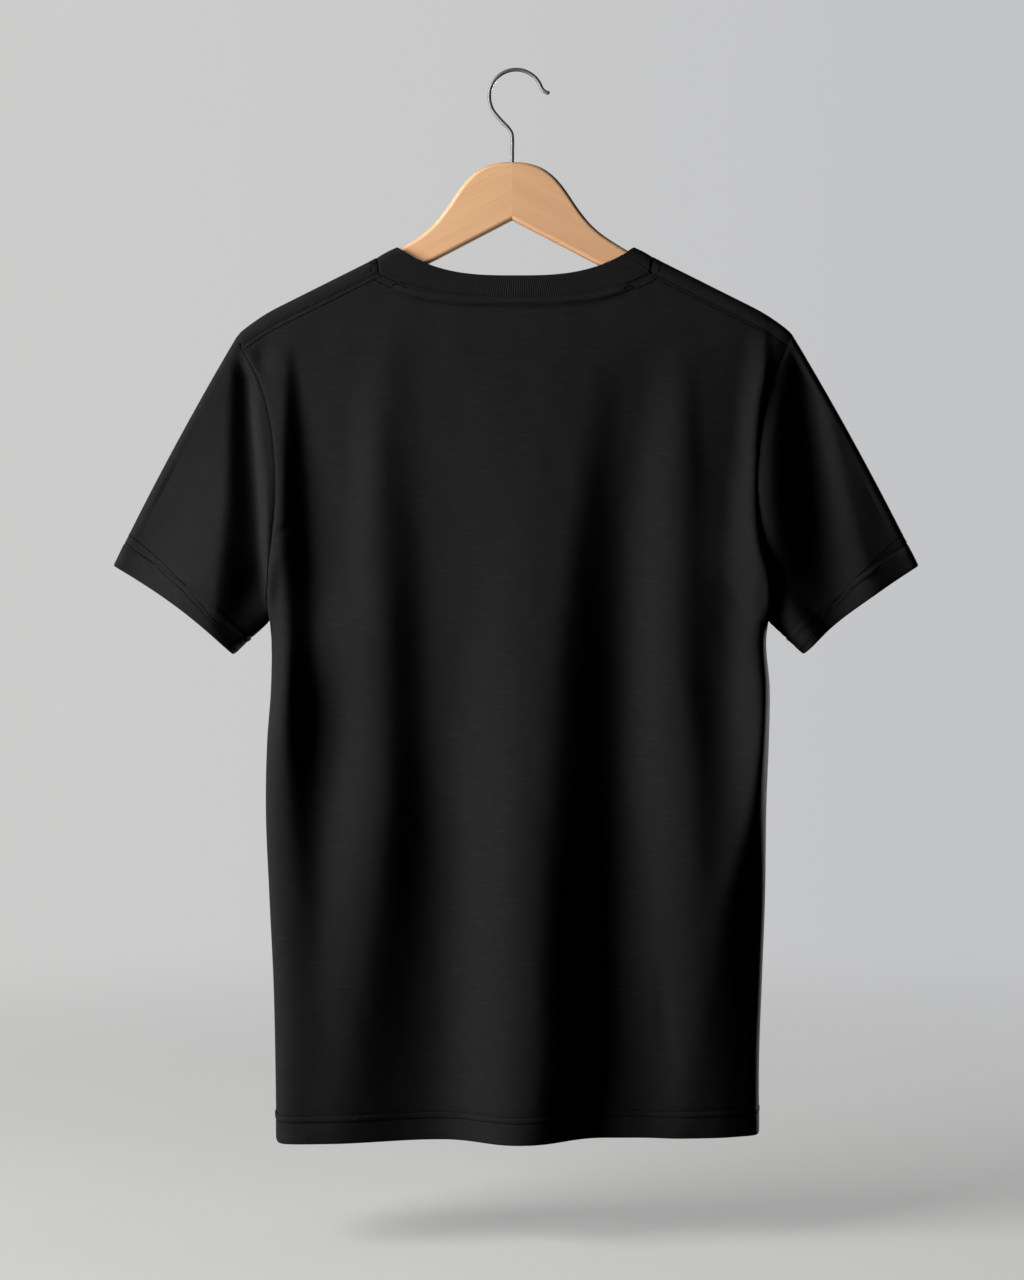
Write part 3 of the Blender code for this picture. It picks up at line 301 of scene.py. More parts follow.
def read(at, value, where):
    """A smooth curve through rows of values, read at any place."""
    slope = np.gradient(value, at, axis=0)
    where = np.clip(where, at[0], at[-1])
    i = np.clip(np.searchsorted(at, where) - 1, 0, len(at) - 2)
    step = at[i + 1] - at[i]
    t = (where - at[i]) / step
    if value.ndim > 1:
        step, t = step[:, None], t[:, None]
    return (
        value[i] * (1 + 2 * t) * (1 - t) ** 2 + slope[i] * step * t * (1 - t) ** 2
        + value[i + 1] * t * t * (3 - 2 * t) + slope[i + 1] * step * t * t * (t - 1)
    )


def along(values, t):
    """A smooth curve through evenly spaced values, from t = 0 to 1."""
    return read(np.linspace(0.0, 1.0, len(values)), np.array(values), t)


SECTION_HEIGHTS = np.array([row.height for row in SECTIONS])
SECTION_COLUMNS = {name: np.array([getattr(row, name) for row in SECTIONS])
                   for name in Section._fields}


def column(name, height):
    """A column of SECTIONS at any height."""
    return read(SECTION_HEIGHTS, SECTION_COLUMNS[name], height)


def shoulder_line(x):
    """Height of the shirt's top line, where the cloth lies over the hanger."""
    x = np.abs(x)
    past_tip = np.maximum(x - TIP_X, 0.0)
    return SHOULDER_Z - SHOULDER_SLOPE * (x - SHOULDER_X) - TIP_DROP * past_tip ** 2


def opening_depth(opening, share):
    """Depth of an armhole or a cuff, from its lowest point (0) to the fold at its top (1)."""
    low = np.clip(share / opening.share, 0.0, 1.0)
    rise = np.sqrt(np.maximum(1.0 - (1.0 - low) ** 2, 0.0))
    fall = smooth((share - opening.share) / (1.0 - opening.share))
    return rise * (opening.deep + (opening.top - opening.deep) * fall)


def relief(piece, x, z):
    """How far the folds of a piece draw its cloth in at x, z."""
    total = np.zeros(np.broadcast(x, z).shape)
    for fold in FOLDS:
        if fold.piece != piece:
            continue
        t = np.clip((fold.top - z) / (fold.top - fold.bottom), 0.0, 1.0)
        envelope = smooth(t / fold.run_in)
        if fold.run_out:
            envelope = envelope * smooth((1.0 - t) / fold.run_out)
        across = x - along(fold.place, t)
        reach = np.where(across > 0, along(fold.left, t), along(fold.right, t))
        shape = 0.5 + 0.5 * np.cos(np.pi * np.clip(across / reach, -1.0, 1.0))
        total = total + along(fold.depth, t) * envelope * shape
    for step in STEPS:
        if step.piece != piece:
            continue
        t = np.clip((step.top - z) / (step.top - step.bottom), 0.0, 1.0)
        past = np.clip(0.5 + (along(step.place, t) - x) / along(step.width, t), 0.0, 1.0)
        total = total - along(step.rise, t) * (past - np.sin(2 * np.pi * past) / (2 * np.pi))
    return total


def small_relief(piece, x, z):
    """How far its creases and its unevenness draw the cloth in."""
    total = np.zeros(np.broadcast(x, z).shape)
    for crease in CREASES:
        if crease.piece != piece:
            continue
        turn = math.radians(crease.lie)
        lengthwise = (x - crease.x) * math.cos(turn) + (z - crease.z) * math.sin(turn)
        across = (z - crease.z) * math.cos(turn) - (x - crease.x) * math.sin(turn)
        envelope = smooth(1.0 - np.abs(lengthwise) / (crease.length / 2))
        total = total + crease.depth * envelope * np.exp(-((across / (crease.width / 2)) ** 2))
    side = 1.0 if piece.endswith("back") else -1.0
    for wave in WAVES:
        total = total + wave.height * np.sin(
            2 * np.pi * (wave.along_x * x * side + wave.along_z * z) + wave.phase + side)
    return total


def body_depth(piece, x, z, fine=True):
    """Distance of the back's or the front's outer face from the middle plane."""
    left, right = column("left", z), column("right", z)
    offset = (2 * x - left - right) / (left - right)
    share = np.clip(np.abs(offset), 0.0, 1.0)
    square = np.where(offset > 0, column("square_left", z), column("square_right", z))
    if piece == "front":
        square = np.minimum(square, FRONT_SQUARE)
    top = shoulder_line(ARMHOLE_TOP) - SEAM_DROP
    at_seam = opening_depth(ARMHOLE, (z - ARMPIT) / (top - ARMPIT)) * (z > ARMPIT)
    above = smooth((z - ARMPIT) / UNDERARM_RISE)
    at_seam = at_seam * (above + (1.0 - above) * smooth((share - 1.0) / UNDERARM_EDGE + 1.0))
    hump = (1.0 - share ** square) ** column("soft", z)
    folds = relief(piece, x, z)
    if fine:
        off_hanger = smooth((shoulder_line(x) - z - ARCH) / OFF_HANGER)
        folds = folds + small_relief(piece, x, z) * off_hanger
    at_side = np.sqrt(1.0 - share ** EDGE_SQUARE)
    at_armhole = smooth((1.0 - share) / EDGE_FADE)
    fade = at_side + (at_armhole - at_side) * (2.0 * column("soft", z) - 1.0)
    return at_seam + (column(piece, z) - at_seam) * hump - folds * fade


def laid_out(length, step, near):
    """Places from 0 to a length a step apart, and closer where near ones are given."""
    near = np.unique(np.round([place for place in near if 0 < place < length], 6))
    even = np.linspace(0.0, length, int(round(length / step)) + 1)[1:-1]
    far = [place for place in even if len(near) == 0 or np.abs(near - place).min() > step / 2]
    return np.sort(np.concatenate([[0.0, length], near, far]))


def columns_across():
    """Places across the body from -1 to 1, and the numbers of the two at the neck points."""
    neck_half, shoulder = NECK_SHARE * HALF, HALF * (1 - NECK_SHARE)
    neck = laid_out(neck_half, COLUMN, [neck_half - near for near in NEAR_EDGE])
    past = laid_out(shoulder, COLUMN, NEAR_SEAM + tuple(shoulder - near for near in NEAR_EDGE))
    half = np.concatenate([neck[1:], neck_half + past[1:]]) / HALF
    half[len(neck) - 2] = NECK_SHARE
    half[-1] = 1.0
    return np.concatenate([-half[::-1], [0.0], half]), len(half) - len(neck) + 1, len(half) + len(neck) - 1


PLACE, NECK_RIGHT, NECK_LEFT = columns_across()
HEM_ROWS = laid_out(ARMPIT - HEM, ROW, NEAR_EDGE + tuple(
    line + offset for line in HEM_LINES for offset in ABOUT_LINE))
CLIMB = laid_out(UPPER_HEIGHT, ROW, NEAR_EDGE + tuple(
    UPPER_HEIGHT - near for near in NEAR_SEAM)) / UPPER_HEIGHT


def across_body(place, edge_height):
    """x of a place across the body, between the seams at a height."""
    left, right = column("left", edge_height), column("right", edge_height)
    return (left + right) / 2 + place * (left - right) / 2


def round_places(piece, height):
    """Places across a row that are even along the cloth, and so stay close round the side seams."""
    x = across_body(ACROSS, height)
    y = body_depth(piece, x, height, fine=False)
    length = np.concatenate([[0.0], np.cumsum(np.hypot(np.diff(x), np.diff(y)))])
    middle = np.interp(0.0, ACROSS, length)
    target = middle + PLACE * np.where(PLACE > 0, length[-1] - middle, middle)
    return np.interp(target, length, ACROSS)


def body_top(piece, place):
    """x and z of the upper end of each column: its shoulder seam or fold, or its neckline."""
    drop = SEAM_DROP if piece == "back" else ARCH
    x = across_body(place, shoulder_line(ARMHOLE_TOP) - drop)
    corner_x = across_body(np.array(NECK_SHARE), shoulder_line(ARMHOLE_TOP) - drop)
    corner_z = shoulder_line(corner_x) - drop
    share = np.clip(np.abs(place) / NECK_SHARE, 0.0, 1.0)
    if piece == "back":
        neckline = NECK_BACK + (corner_z - NECK_BACK) * share ** NECK_BACK_POWER
    else:
        bowl = (1.0 - share ** NECK_FRONT_POWER) ** (1.0 / NECK_FRONT_POWER)
        neckline = corner_z + (NECK_FRONT - corner_z) * bowl
    on_neck = np.abs(place) < NECK_SHARE - SAME_PLACE
    return x, np.where(on_neck, neckline, shoulder_line(x) - drop)


def body_grid(piece):
    """Points of the outer face of back or front, row by row from the hem up."""
    side = 1.0 if piece == "back" else -1.0
    drop = SEAM_DROP if piece == "back" else ARCH
    rows = []
    for height in HEM + HEM_ROWS:
        x = across_body(round_places(piece, height), height)
        rows.append((x, np.full_like(x, height)))
    _, z_top = body_top(piece, PLACE)
    for rise in CLIMB[1:]:
        edge = ARMPIT + (shoulder_line(ARMHOLE_TOP) - drop - ARMPIT) * rise
        even = smooth(rise / ROUND_TO_FLAT)
        place = PLACE * even + round_places(piece, edge) * (1.0 - even)
        rows.append((across_body(place, edge), ARMPIT + (z_top - ARMPIT) * rise))
    return np.array([np.stack([x, side * body_depth(piece, x, z), z], axis=1) for x, z in rows])


def arch_turn(row):
    """Cosine and sine, squared off, of a row of the fold over the hanger."""
    turn = np.pi * row / ARCH_ROWS
    return (np.sign(np.cos(turn)) * abs(np.cos(turn)) ** ARCH_SQUARE,
            abs(np.sin(turn)) ** ARCH_SQUARE)


def shoulder_grid(side):
    """Points of the front where it rolls over one shoulder, front to back."""
    place = PLACE[:NECK_RIGHT + 1] if side < 0 else PLACE[NECK_LEFT:]
    rows = []
    for row in range(ARCH_ROWS + 1):
        away, rise = arch_turn(row)
        x = across_body(place, shoulder_line(ARMHOLE_TOP) - ARCH * (1.0 - rise))
        piece = "front" if away > 0 else "back"
        depth = body_depth(piece, x, shoulder_line(x) - ARCH)
        rows.append(np.stack([x, -away * depth, shoulder_line(x) - ARCH * (1.0 - rise)], axis=1))
    x, z = body_top("back", place)
    for above in ABOVE_SHOULDER_SEAM:
        rows.append(np.stack([x, body_depth("back", x, z + above), z + above], axis=1))
    return np.array(rows)


# ---------------------------------------------------------------- meshes of cloth
def lengths(grid, axis):
    """How far each point of a grid lies along its row (axis 1) or its column (axis 0)."""
    step = np.linalg.norm(np.diff(grid, axis=axis), axis=2)
    start = np.zeros_like(np.take(step, [0], axis=axis))
    return np.cumsum(np.concatenate([start, step], axis=axis), axis=axis)


def cloth_uv(grid):
    """Places on the cloth in metres: across from its middle, and up from its edge."""
    across = lengths(grid, 1)
    return np.stack([across - across[:, grid.shape[1] // 2, None], lengths(grid, 0)], axis=2)


def activate(piece):
    """Select one object and make it the active one."""
    bpy.ops.object.select_all(action="DESELECT")
    piece.select_set(True)
    bpy.context.view_layer.objects.active = piece


def weld(piece):
    """Join the points of a piece that lie on each other."""
    activate(piece)
    bpy.ops.object.mode_set(mode="EDIT")
    bpy.ops.mesh.select_all(action="SELECT")
    bpy.ops.mesh.remove_doubles(threshold=WELD)
    bpy.ops.object.mode_set(mode="OBJECT")


def quads_of(number):
    """The four corners of each quad between the points of a numbered grid."""
    return np.stack([number[:-1, :-1], number[:-1, 1:], number[1:, 1:], number[1:, :-1]],
                    axis=-1).reshape(-1, 4)


def cloth_mesh(name, grids, uvs, outward=True, closed=False):
    """An object of grids of points, welded where they meet. A closed grid joins up with its start."""
    points, faces, corner_uv = [], [], []
    start = 0
    for grid, uv in zip(grids, uvs):
        rows, columns = grid.shape[:2]
        number = start + np.arange(rows * columns).reshape(rows, columns)
        if closed:
            number = np.concatenate([number, number[:, :1]], axis=1)
        quads = quads_of(number)
        corners = quads_of(np.arange(number.size).reshape(number.shape))
        if not outward:
            quads, corners = quads[:, ::-1], corners[:, ::-1]
        points.append(grid.reshape(-1, 3))
        faces.append(quads)
        corner_uv.append(uv.reshape(-1, 2)[corners.reshape(-1)])
        start += rows * columns
    mesh = bpy.data.meshes.new(name)
    mesh.from_pydata(np.concatenate(points).tolist(), [], np.concatenate(faces).tolist())
    layer = mesh.uv_layers.new(name="UVMap")
    layer.data.foreach_set("uv", np.concatenate(corner_uv).reshape(-1))
    piece = bpy.data.objects.new(name, mesh)
    bpy.context.collection.objects.link(piece)
    if len(grids) > 1:
        weld(piece)
    mesh.shade_smooth()
    return piece


def distance_to(places, lines):
    """How far each place is from the nearest of some lines of points."""
    dense = []
    for line in lines:
        number = np.arange(len(line))
        finer = np.linspace(0, len(line) - 1, BETWEEN_POINTS * (len(line) - 1) + 1)
        dense.append(np.stack([np.interp(finer, number, line[:, axis]) for axis in range(3)], axis=1))
    dense = np.concatenate(dense)
    tree = KDTree(len(dense))
    for i, place in enumerate(dense):
        tree.insert(place, i)
    tree.balance()
    return np.array([tree.find(place)[2] for place in places])


def dip(distance, width=GROOVE_WIDTH):
    """1 on a line and 0 away from it."""
    return np.exp(-((distance / width) ** 2))


def hem_profile(height, lines):
    """How far the doubled cloth of a hem stands out, by the height above its edge."""
    low, high = lines
    doubled = smooth((high - height) / LINE_STEP)
    between = smooth((height - low) / LINE_STEP) * doubled
    out = DOUBLED * doubled + TUNNEL * between - EDGE_ROLL * dip(height, EDGE_ROLL_WIDTH)
    return out - GROOVE * (dip(height - low) + dip(height - high))


def allowance_profile(distance, allowance):
    """How far the cloth stands up over a seam allowance, by the distance from its seam."""
    up = smooth((allowance.width - distance) / ALLOWANCE_EDGE)
    return allowance.height * up - allowance.groove * sum(dip(distance - line) for line in allowance.lines)


def ripple(places, distance):
    """The cloth's small puckers along a line of stitches."""
    lengthwise = places @ np.array(PUCKER_WAY)
    uneven = 1.0 + PUCKER_UNEVEN * np.sin(2 * np.pi * lengthwise / PUCKER_SPELL)
    near = np.exp(-distance / PUCKER_REACH)
    return PUCKER * near * uneven * np.sin(2 * np.pi * lengthwise / PUCKER_LENGTH)


def finish_cloth(piece, seams, stitched_down, height, lines):
    """Shape the cloth at its seams, allowances and hem, then give it its thickness."""
    mesh = piece.data
    places = np.zeros(len(mesh.vertices) * 3)
    mesh.vertices.foreach_get("co", places)
    places = places.reshape(-1, 3)
    normals = np.zeros(len(mesh.vertices) * 3)
    mesh.vertex_normals.foreach_get("vector", normals)
    normals = normals.reshape(-1, 3)
    to_seam = distance_to(places, seams)
    near_seam = smooth(1.0 - to_seam / SEAM_TURN) * smooth((places[:, 2] - ARMPIT) / UNDERARM_RISE)
    normals[:, 0] *= 1.0 - SEAM_FLATTEN * near_seam
    normals /= np.maximum(np.linalg.norm(normals, axis=1), 0.001)[:, None]
    out = ripple(places, to_seam) - SEAM_ROLL * dip(to_seam, SEAM_ROLL_WIDTH)
    for allowance, line in stitched_down:
        past = smooth((np.abs(places[:, 0]) - allowance.taper_from) / TAPER_LENGTH)
        stands = allowance_profile(distance_to(places, [line]), allowance)
        out += stands * (1.0 - allowance.taper * past)
    height = height(places)
    out += hem_profile(height, lines) + ripple(places, np.abs(height - sum(lines) / 2))
    mesh.vertices.foreach_set("co", (places + normals * out[:, None]).reshape(-1))
    layers = piece.vertex_groups.new(name="layers")
    layers.add(np.flatnonzero(height > lines[1]).tolist(), CLOTH / HEM_CLOTH, "REPLACE")
    layers.add(np.flatnonzero(height <= lines[1]).tolist(), 1.0, "REPLACE")
    wall = piece.modifiers.new("wall", "SOLIDIFY")
    wall.thickness = HEM_CLOTH
    wall.offset = -1.0
    wall.vertex_group = layers.name
    activate(piece)
    bpy.ops.object.modifier_apply(modifier=wall.name)
    piece.vertex_groups.clear()
    piece.data.shade_smooth()


def body_panel(name, piece, grid):
    """The back or the front, from the hem to its shoulder seams."""
    drawn = grid.copy()
    sides = slice(0, len(HEM_ROWS))
    for edge, inner in ((0, 1), (-1, -2)):
        way = drawn[sides, inner] - drawn[sides, edge]
        drawn[sides, edge] += way / np.linalg.norm(way, axis=1)[:, None] * SEAM_GAP / 2
    uv = cloth_uv(drawn)
    grids, uvs = [drawn], [uv]
    neck = grid[-1, NECK_RIGHT:NECK_LEFT + 1]
    shoulders = [grid[-1, :NECK_RIGHT + 1], grid[-1, NECK_LEFT:]]
    seams = [grid[:, 0], grid[:, -1]]
    if piece == "front":
        over = {side: shoulder_grid(side) for side in (-1, 1)}
        neck = np.concatenate([over[-1][::-1, -1], neck, over[1][:, 0]])
        seams += [over[-1][:, 0], over[1][:, -1], over[-1][-1], over[1][-1]]
        for side in (-1, 1):
            over[side][-1] += (over[side][-2] - over[side][-1]) * SEAM_END
            first = uv[-1, :NECK_RIGHT + 1] if side < 0 else uv[-1, NECK_LEFT:]
            climb = np.stack([np.zeros(over[side].shape[:2]), lengths(over[side], 0)], axis=2)
            grids.append(over[side])
            uvs.append(first[None] + climb)
        stitched_down = [(NECK_ALLOWANCE, neck)]
    else:
        seams += shoulders
        stitched_down = [(NECK_ALLOWANCE, neck)] + [(SHOULDER_ALLOWANCE, line) for line in shoulders]
    seams.append(neck)
    made = cloth_mesh(name, grids, uvs, outward=piece == "front")
    finish_cloth(made, seams, stitched_down, lambda places: places[:, 2] - HEM, HEM_LINES)
    rows = [grid[np.abs(HEM_ROWS - line).argmin()] for line in HEM_LINES]
    return made, rows, neck, shoulders


# ---------------------------------------------------------------- sleeves
Station = namedtuple("Station", "side climb arch")


def ring_stations():
    """Places round an opening of the body: up the back, over the shoulder, down the front."""
    back = [Station(1, share, None) for share in CLIMB]
    over = [Station(0, 1.0, row) for row in range(ARCH_ROWS, -1, -1)]
    front = [Station(-1, share, None) for share in CLIMB[-2:0:-1]]
    return back + over + front


def armhole_points(side, back, front):
    """The armhole's points on the body, one for each station."""
    edge = -1 if side > 0 else 0
    first = len(HEM_ROWS) - 1
    over = shoulder_grid(side)[ARCH_ROWS::-1, edge]
    return np.concatenate([back[first:, edge], over, front[first + 1:-1, edge][::-1]])


def cuff_points(sleeve):
    """The cuff's points, one for each station."""
    width = np.hypot(sleeve.out_x - sleeve.low_x, sleeve.out_z - sleeve.low_z)
    fold = CUFF.top / width
    points = []
    for station in ring_stations():
        if station.arch is None:
            share = station.climb * (1.0 - fold) * CUFF_SEAM_SHARE
            depth = station.side * float(opening_depth(CUFF, station.climb))
        else:
            away, rise = arch_turn(station.arch)
            share = 1.0 - fold * (1.0 - rise)
            depth = -away * CUFF.top
        down = 1.0 - share
        x = sleeve.out_x + (sleeve.low_x - sleeve.out_x) * down
        z = sleeve.out_z + (sleeve.low_z - sleeve.out_z) * down
        points.append((x, depth, z + sleeve.sag * (down - down ** CUFF_SAG_POWER)))
    return np.array(points)


def sleeve_grid(sleeve, armhole, shares):
    """Rings of points from the armhole out to the cuff."""
    stations = ring_stations()
    cuff = cuff_points(sleeve)
    face = np.array([station.side for station in stations])
    climb = np.array([station.climb for station in stations])
    near_top = smooth((climb - SLEEVE_TOP) / (1.0 - SLEEVE_TOP))
    back, front = sleeve.name + "_back", sleeve.name + "_front"
    rings = []
    for t in shares:
        points = armhole + (cuff - armhole) * t
        middle = 4.0 * t * (1.0 - t)
        x, z = points[:, 0], points[:, 2]
        fade = smooth(climb / UNDERARM_FADE) * smooth(t / ARMHOLE_FADE)
        folds = np.where(face > 0, relief(back, x, z) + small_relief(back, x, z),
                         relief(front, x, z) + small_relief(front, x, z))
        swell = SLEEVE_SWELL * middle * np.sin(np.pi * climb)
        points[:, 1] += face * (swell - folds * fade)
        points[:, 0] += sleeve.side * SLEEVE_BOW * middle * near_top
        points[:, 2] += SLEEVE_RISE * middle * near_top
        rings.append(points)
    return np.array(rings)


def sleeve_piece(name, sleeve, back, front):
    """One sleeve, a tube from its armhole to its turned-up cuff."""
    armhole = armhole_points(sleeve.side, back, front)
    near = NEAR_EDGE + tuple(SLEEVE_LENGTH - place for place in NEAR_EDGE)
    near += tuple(SLEEVE_LENGTH - line + offset for line in CUFF_LINES for offset in ABOUT_LINE)
    shares = laid_out(SLEEVE_LENGTH, ROW, near) / SLEEVE_LENGTH
    shares[0] = SEAM_GAP / SLEEVE_LENGTH
    grid = sleeve_grid(sleeve, armhole, shares)
    joined = np.concatenate([grid, grid[:, :1]], axis=1)
    uv = np.stack([lengths(joined, 1), lengths(joined, 0)], axis=2)
    made = cloth_mesh(name, [grid], [uv], outward=sleeve.side > 0, closed=True)
    up = lengths(grid, 0)
    to_cuff = up[-1:] - up
    underarm = grid[:, 0]
    finish_cloth(made, [armhole, underarm], [], lambda places: to_cuff.reshape(-1), CUFF_LINES)
    rows = [joined[np.abs(SLEEVE_LENGTH * (1 - shares) - line).argmin()] for line in CUFF_LINES]
    return made, rows


# ---------------------------------------------------------------- neckband
def neck_ring(back, front):
    """The neck seam's points, and for each the point of the neckband's edge over it."""
    seam, edge = [], []
    corner = BAND_Z - BAND_FALL - BAND_CORNER / 2
    reach = BAND_X - BAND_INWARD - BAND_CORNER

    def flat(panel, piece, low, power, i):
        value = PLACE[i] / NECK_SHARE
        share = abs(value)
        if piece == "back":
            z = low + (corner - low) * share ** power
            middle = body_depth("back", np.array(0.0), np.array(NECK_BACK)) - BAND_LEAN
        else:
            z = corner + (low - corner) * (1.0 - share ** power) ** (1.0 / power)
            middle = body_depth("front", np.array(0.0), np.array(NECK_FRONT)) - BAND_LEAN
        y = ARCH + (middle - ARCH) * (1.0 - share ** 2)
        seam.append(panel[-1, i])
        edge.append((value * reach, y if piece == "back" else -y, z))

    def arch(side, row):
        away, rise = arch_turn(row)
        seam.append(shoulder_grid(side)[row, 0 if side > 0 else -1])
        x = side * (BAND_X - BAND_INWARD * (1.0 - rise))
        edge.append((x, -away * ARCH, BAND_Z - BAND_FALL * (1.0 - rise)))

    for i in range(NECK_RIGHT, NECK_LEFT + 1):
        flat(back, "back", BAND_BACK, NECK_BACK_POWER, i)
    for row in range(ARCH_ROWS, -1, -1):
        arch(1, row)
    for i in range(NECK_LEFT - 1, NECK_RIGHT, -1):
        flat(front, "front", BAND_FRONT, NECK_FRONT_POWER, i)
    for row in range(ARCH_ROWS + 1):
        arch(-1, row)
    return np.array(seam), np.array(edge)


def unit(vectors):
    """The same directions with length 1."""
    return vectors / np.maximum(np.linalg.norm(vectors, axis=-1), 1e-12)[..., None]


def neckband_piece(name, back, front):
    """The neckband: rib folded double, its folded edge up and its raw edges in the neck seam."""
    seam, edge = neck_ring(back, front)
    start = seam + unit(edge - seam) * SEAM_GAP
    outer = []
    for t in np.linspace(0.0, 1.0, BAND_ROWS + 1):
        points = start + (edge - start) * t
        out = unit(points * np.array([1.0, 1.0, 0.0]))
        outer.append(points + out * BAND_CROWN * np.sin(np.pi * t))
    outer = np.array(outer)
    around = unit(np.roll(seam, -1, axis=0) - np.roll(seam, 1, axis=0))
    up = unit(edge - seam)
    out = unit(np.cross(up, around))
    out *= np.sign((out * (seam * np.array([1.0, 1.0, 0.0]))).sum(axis=1))[:, None]
    for _ in range(BAND_EVEN):
        out = unit(out * 2 + np.roll(out, 1, axis=0) + np.roll(out, -1, axis=0))
    radius = RIB / 2
    middle = outer[-1] - out * radius - up * radius
    rows = list(outer[:-1])
    for turn in np.linspace(0.0, np.pi, BAND_TURN + 1):
        rows.append(middle + out * radius * np.cos(turn) + up * radius * np.sin(turn))
    rows += [row - out * RIB for row in outer[-2::-1]]
    rows.append(outer[0])
    grid = np.array(rows)
    joined = np.concatenate([grid, grid[:, :1]], axis=1)
    round_it = lengths(np.concatenate([edge, edge[:1]])[None], 1)
    uv = np.stack([np.repeat(round_it, len(grid), axis=0), lengths(joined, 0)], axis=2)
    made = cloth_mesh(name, [grid], [uv], outward=False, closed=True)
    weld(made)
    made.data.shade_smooth()
    return made


# ---------------------------------------------------------------- stitches
def evenly(line, apart):
    """Places along a line of points, a distance apart."""
    at = np.concatenate([[0.0], np.cumsum(np.linalg.norm(np.diff(line, axis=0), axis=1))])
    where = np.arange(apart / 2, at[-1], apart)
    return np.stack([np.interp(where, at, line[:, axis]) for axis in range(3)], axis=1)


def surface_of(piece):
    """The surface of a finished piece, to lay things on."""
    mesh = piece.data
    points = [vertex.co for vertex in mesh.vertices]
    return BVHTree.FromPolygons(points, [tuple(face.vertices) for face in mesh.polygons])


def on_surface(surface, places):
    """The nearest points of a surface, and the way it faces there."""
    found = [surface.find_nearest(place) for place in places]
    return np.array([hit[0] for hit in found]), np.array([hit[1] for hit in found])


def beside(surface, line, distance, away_from):
    """A line on the surface at a distance beside another, on the side away from a point."""
    places, normals = on_surface(surface, line)
    tangent = unit(np.gradient(line, axis=0))
    aside = unit(np.cross(tangent, normals))
    aside *= np.where(((line - away_from) * aside).sum(axis=1) > 0, 1.0, -1.0)[:, None]
    return line + aside * distance


def one_stitch():
    """Points and faces of one stitch, along x and facing z."""
    turns = np.linspace(0.0, 2 * np.pi, STITCH_SIDES, endpoint=False)
    points = [(place * STITCH / 2, STITCH_HALF_WIDE * size * np.cos(turn),
               STITCH_HALF_HIGH * size * np.sin(turn)) for place, size in STITCH_RINGS for turn in turns]
    number = np.arange(len(points)).reshape(-1, STITCH_SIDES)
    around = np.concatenate([number, number[:, :1]], axis=1)
    faces = quads_of(around)[:, ::-1].tolist()
    return np.array(points), faces + [number[0].tolist(), number[-1][::-1].tolist()]


def sew(name, piece, lines):
    """Stitches along lines on a piece, each lying on its surface."""
    surface = surface_of(piece)
    shape, faces = one_stitch()
    points, all_faces = [], []
    for line in lines:
        places, normals = on_surface(surface, evenly(line, STITCH_APART))
        tangent = unit(np.gradient(places, axis=0))
        aside = unit(np.cross(normals, tangent))
        for i, place in enumerate(places):
            skew = sum(size * math.sin(turn * i) for size, turn in SKEW)
            ahead = tangent[i] + aside[i] * skew
            across = aside[i] - tangent[i] * skew
            start = len(points) * len(shape)
            points.append(place + shape[:, :1] * ahead + shape[:, 1:2] * across + shape[:, 2:] * normals[i])
            all_faces += [[start + corner for corner in face] for face in faces]
    mesh = bpy.data.meshes.new(name)
    mesh.from_pydata(np.concatenate(points).tolist(), [], all_faces)
    mesh.shade_smooth()
    made = bpy.data.objects.new(name, mesh)
    bpy.context.collection.objects.link(made)
    return made


# ---------------------------------------------------------------- hanger
HANGER_X = 0.0027           # the hanger's middle
WOOD = 0.0120               # its thickness
WOOD_EDGE = 0.0035          # radius of its long edges
WOOD_DROP = 0.0027          # its top edge, under the cloth's shoulder line
APEX_TOP = -0.0746
APEX_UNDER = -0.1222
UNDER_SLOPE = 0.52
ARM_START = 0.1080          # where the arm's top edge starts to follow the shoulder
ARM_END = 0.2060            # and where its round tip starts
MITRE_GAP = 0.00004
MITRE_EDGE = 0.00008
ON_THE_CUT = 0.00001        # how near the mitre a point counts as on it
LEVEL = 0.000001            # and how level an edge has to be to run round the outline
SOFTENED = math.radians(32) # edges of the wood that turn less than this look round
HOLE_SIDES = 32
DRILL_ABOVE = 0.005         # how far the drill starts above the wood
# The hanger's head, from its dome out to the arms: half its width at a depth below its top.
Head = namedtuple("Head", "half_width below")
HEAD = (
    Head(0.0000, 0.0000),
    Head(0.0080, 0.0004),
    Head(0.0155, 0.0017),
    Head(0.0254, 0.0055),
    Head(0.0342, 0.0120),
    Head(0.0406, 0.0190),
    Head(0.0459, 0.0262),
    Head(0.0513, 0.0344),
    Head(0.0572, 0.0426),
    Head(0.0640, 0.0508),
    Head(0.0734, 0.0592),
    Head(0.0845, 0.0667),
    Head(0.0980, 0.0748),
)
HEAD_STEP = 0.0030
ARM_STEPS = 14
TIP_STEPS = 18
EDGE_STEPS = 5

WIRE = 0.0032               # the hook's diameter
STEM_DEPTH = 0.0220
STEM_CLEARANCE = 0.0003
STEM_TOP = -0.0560
CROWN_X = -0.0004
CROWN_RADIUS = 0.0220
CROWN_START = -15.0
CROWN_END = 152.0
CROWN_STEPS = 12
WIRE_STEP = 0.0012
WIRE_ROUND = 6              # how finely the wire is rounded
WIRE_SOFTENED = math.radians(40)
CAP_STEPS = 7               # steps round the wire's end
CAP_LONG = 0.9              # its length, as a share of the wire's radius
CAP_LEAST = 0.02            # the last step keeps this share of the radius
NECK_OF_HOOK = ((0.0031, -0.0512), (0.0058, -0.0466), (0.0103, -0.0419), (0.0153, -0.0363),
                (0.0189, -0.0314))
TIP_OF_HOOK = ((-0.0216, -0.0140), (-0.0238, -0.0163), (-0.0268, -0.0176))


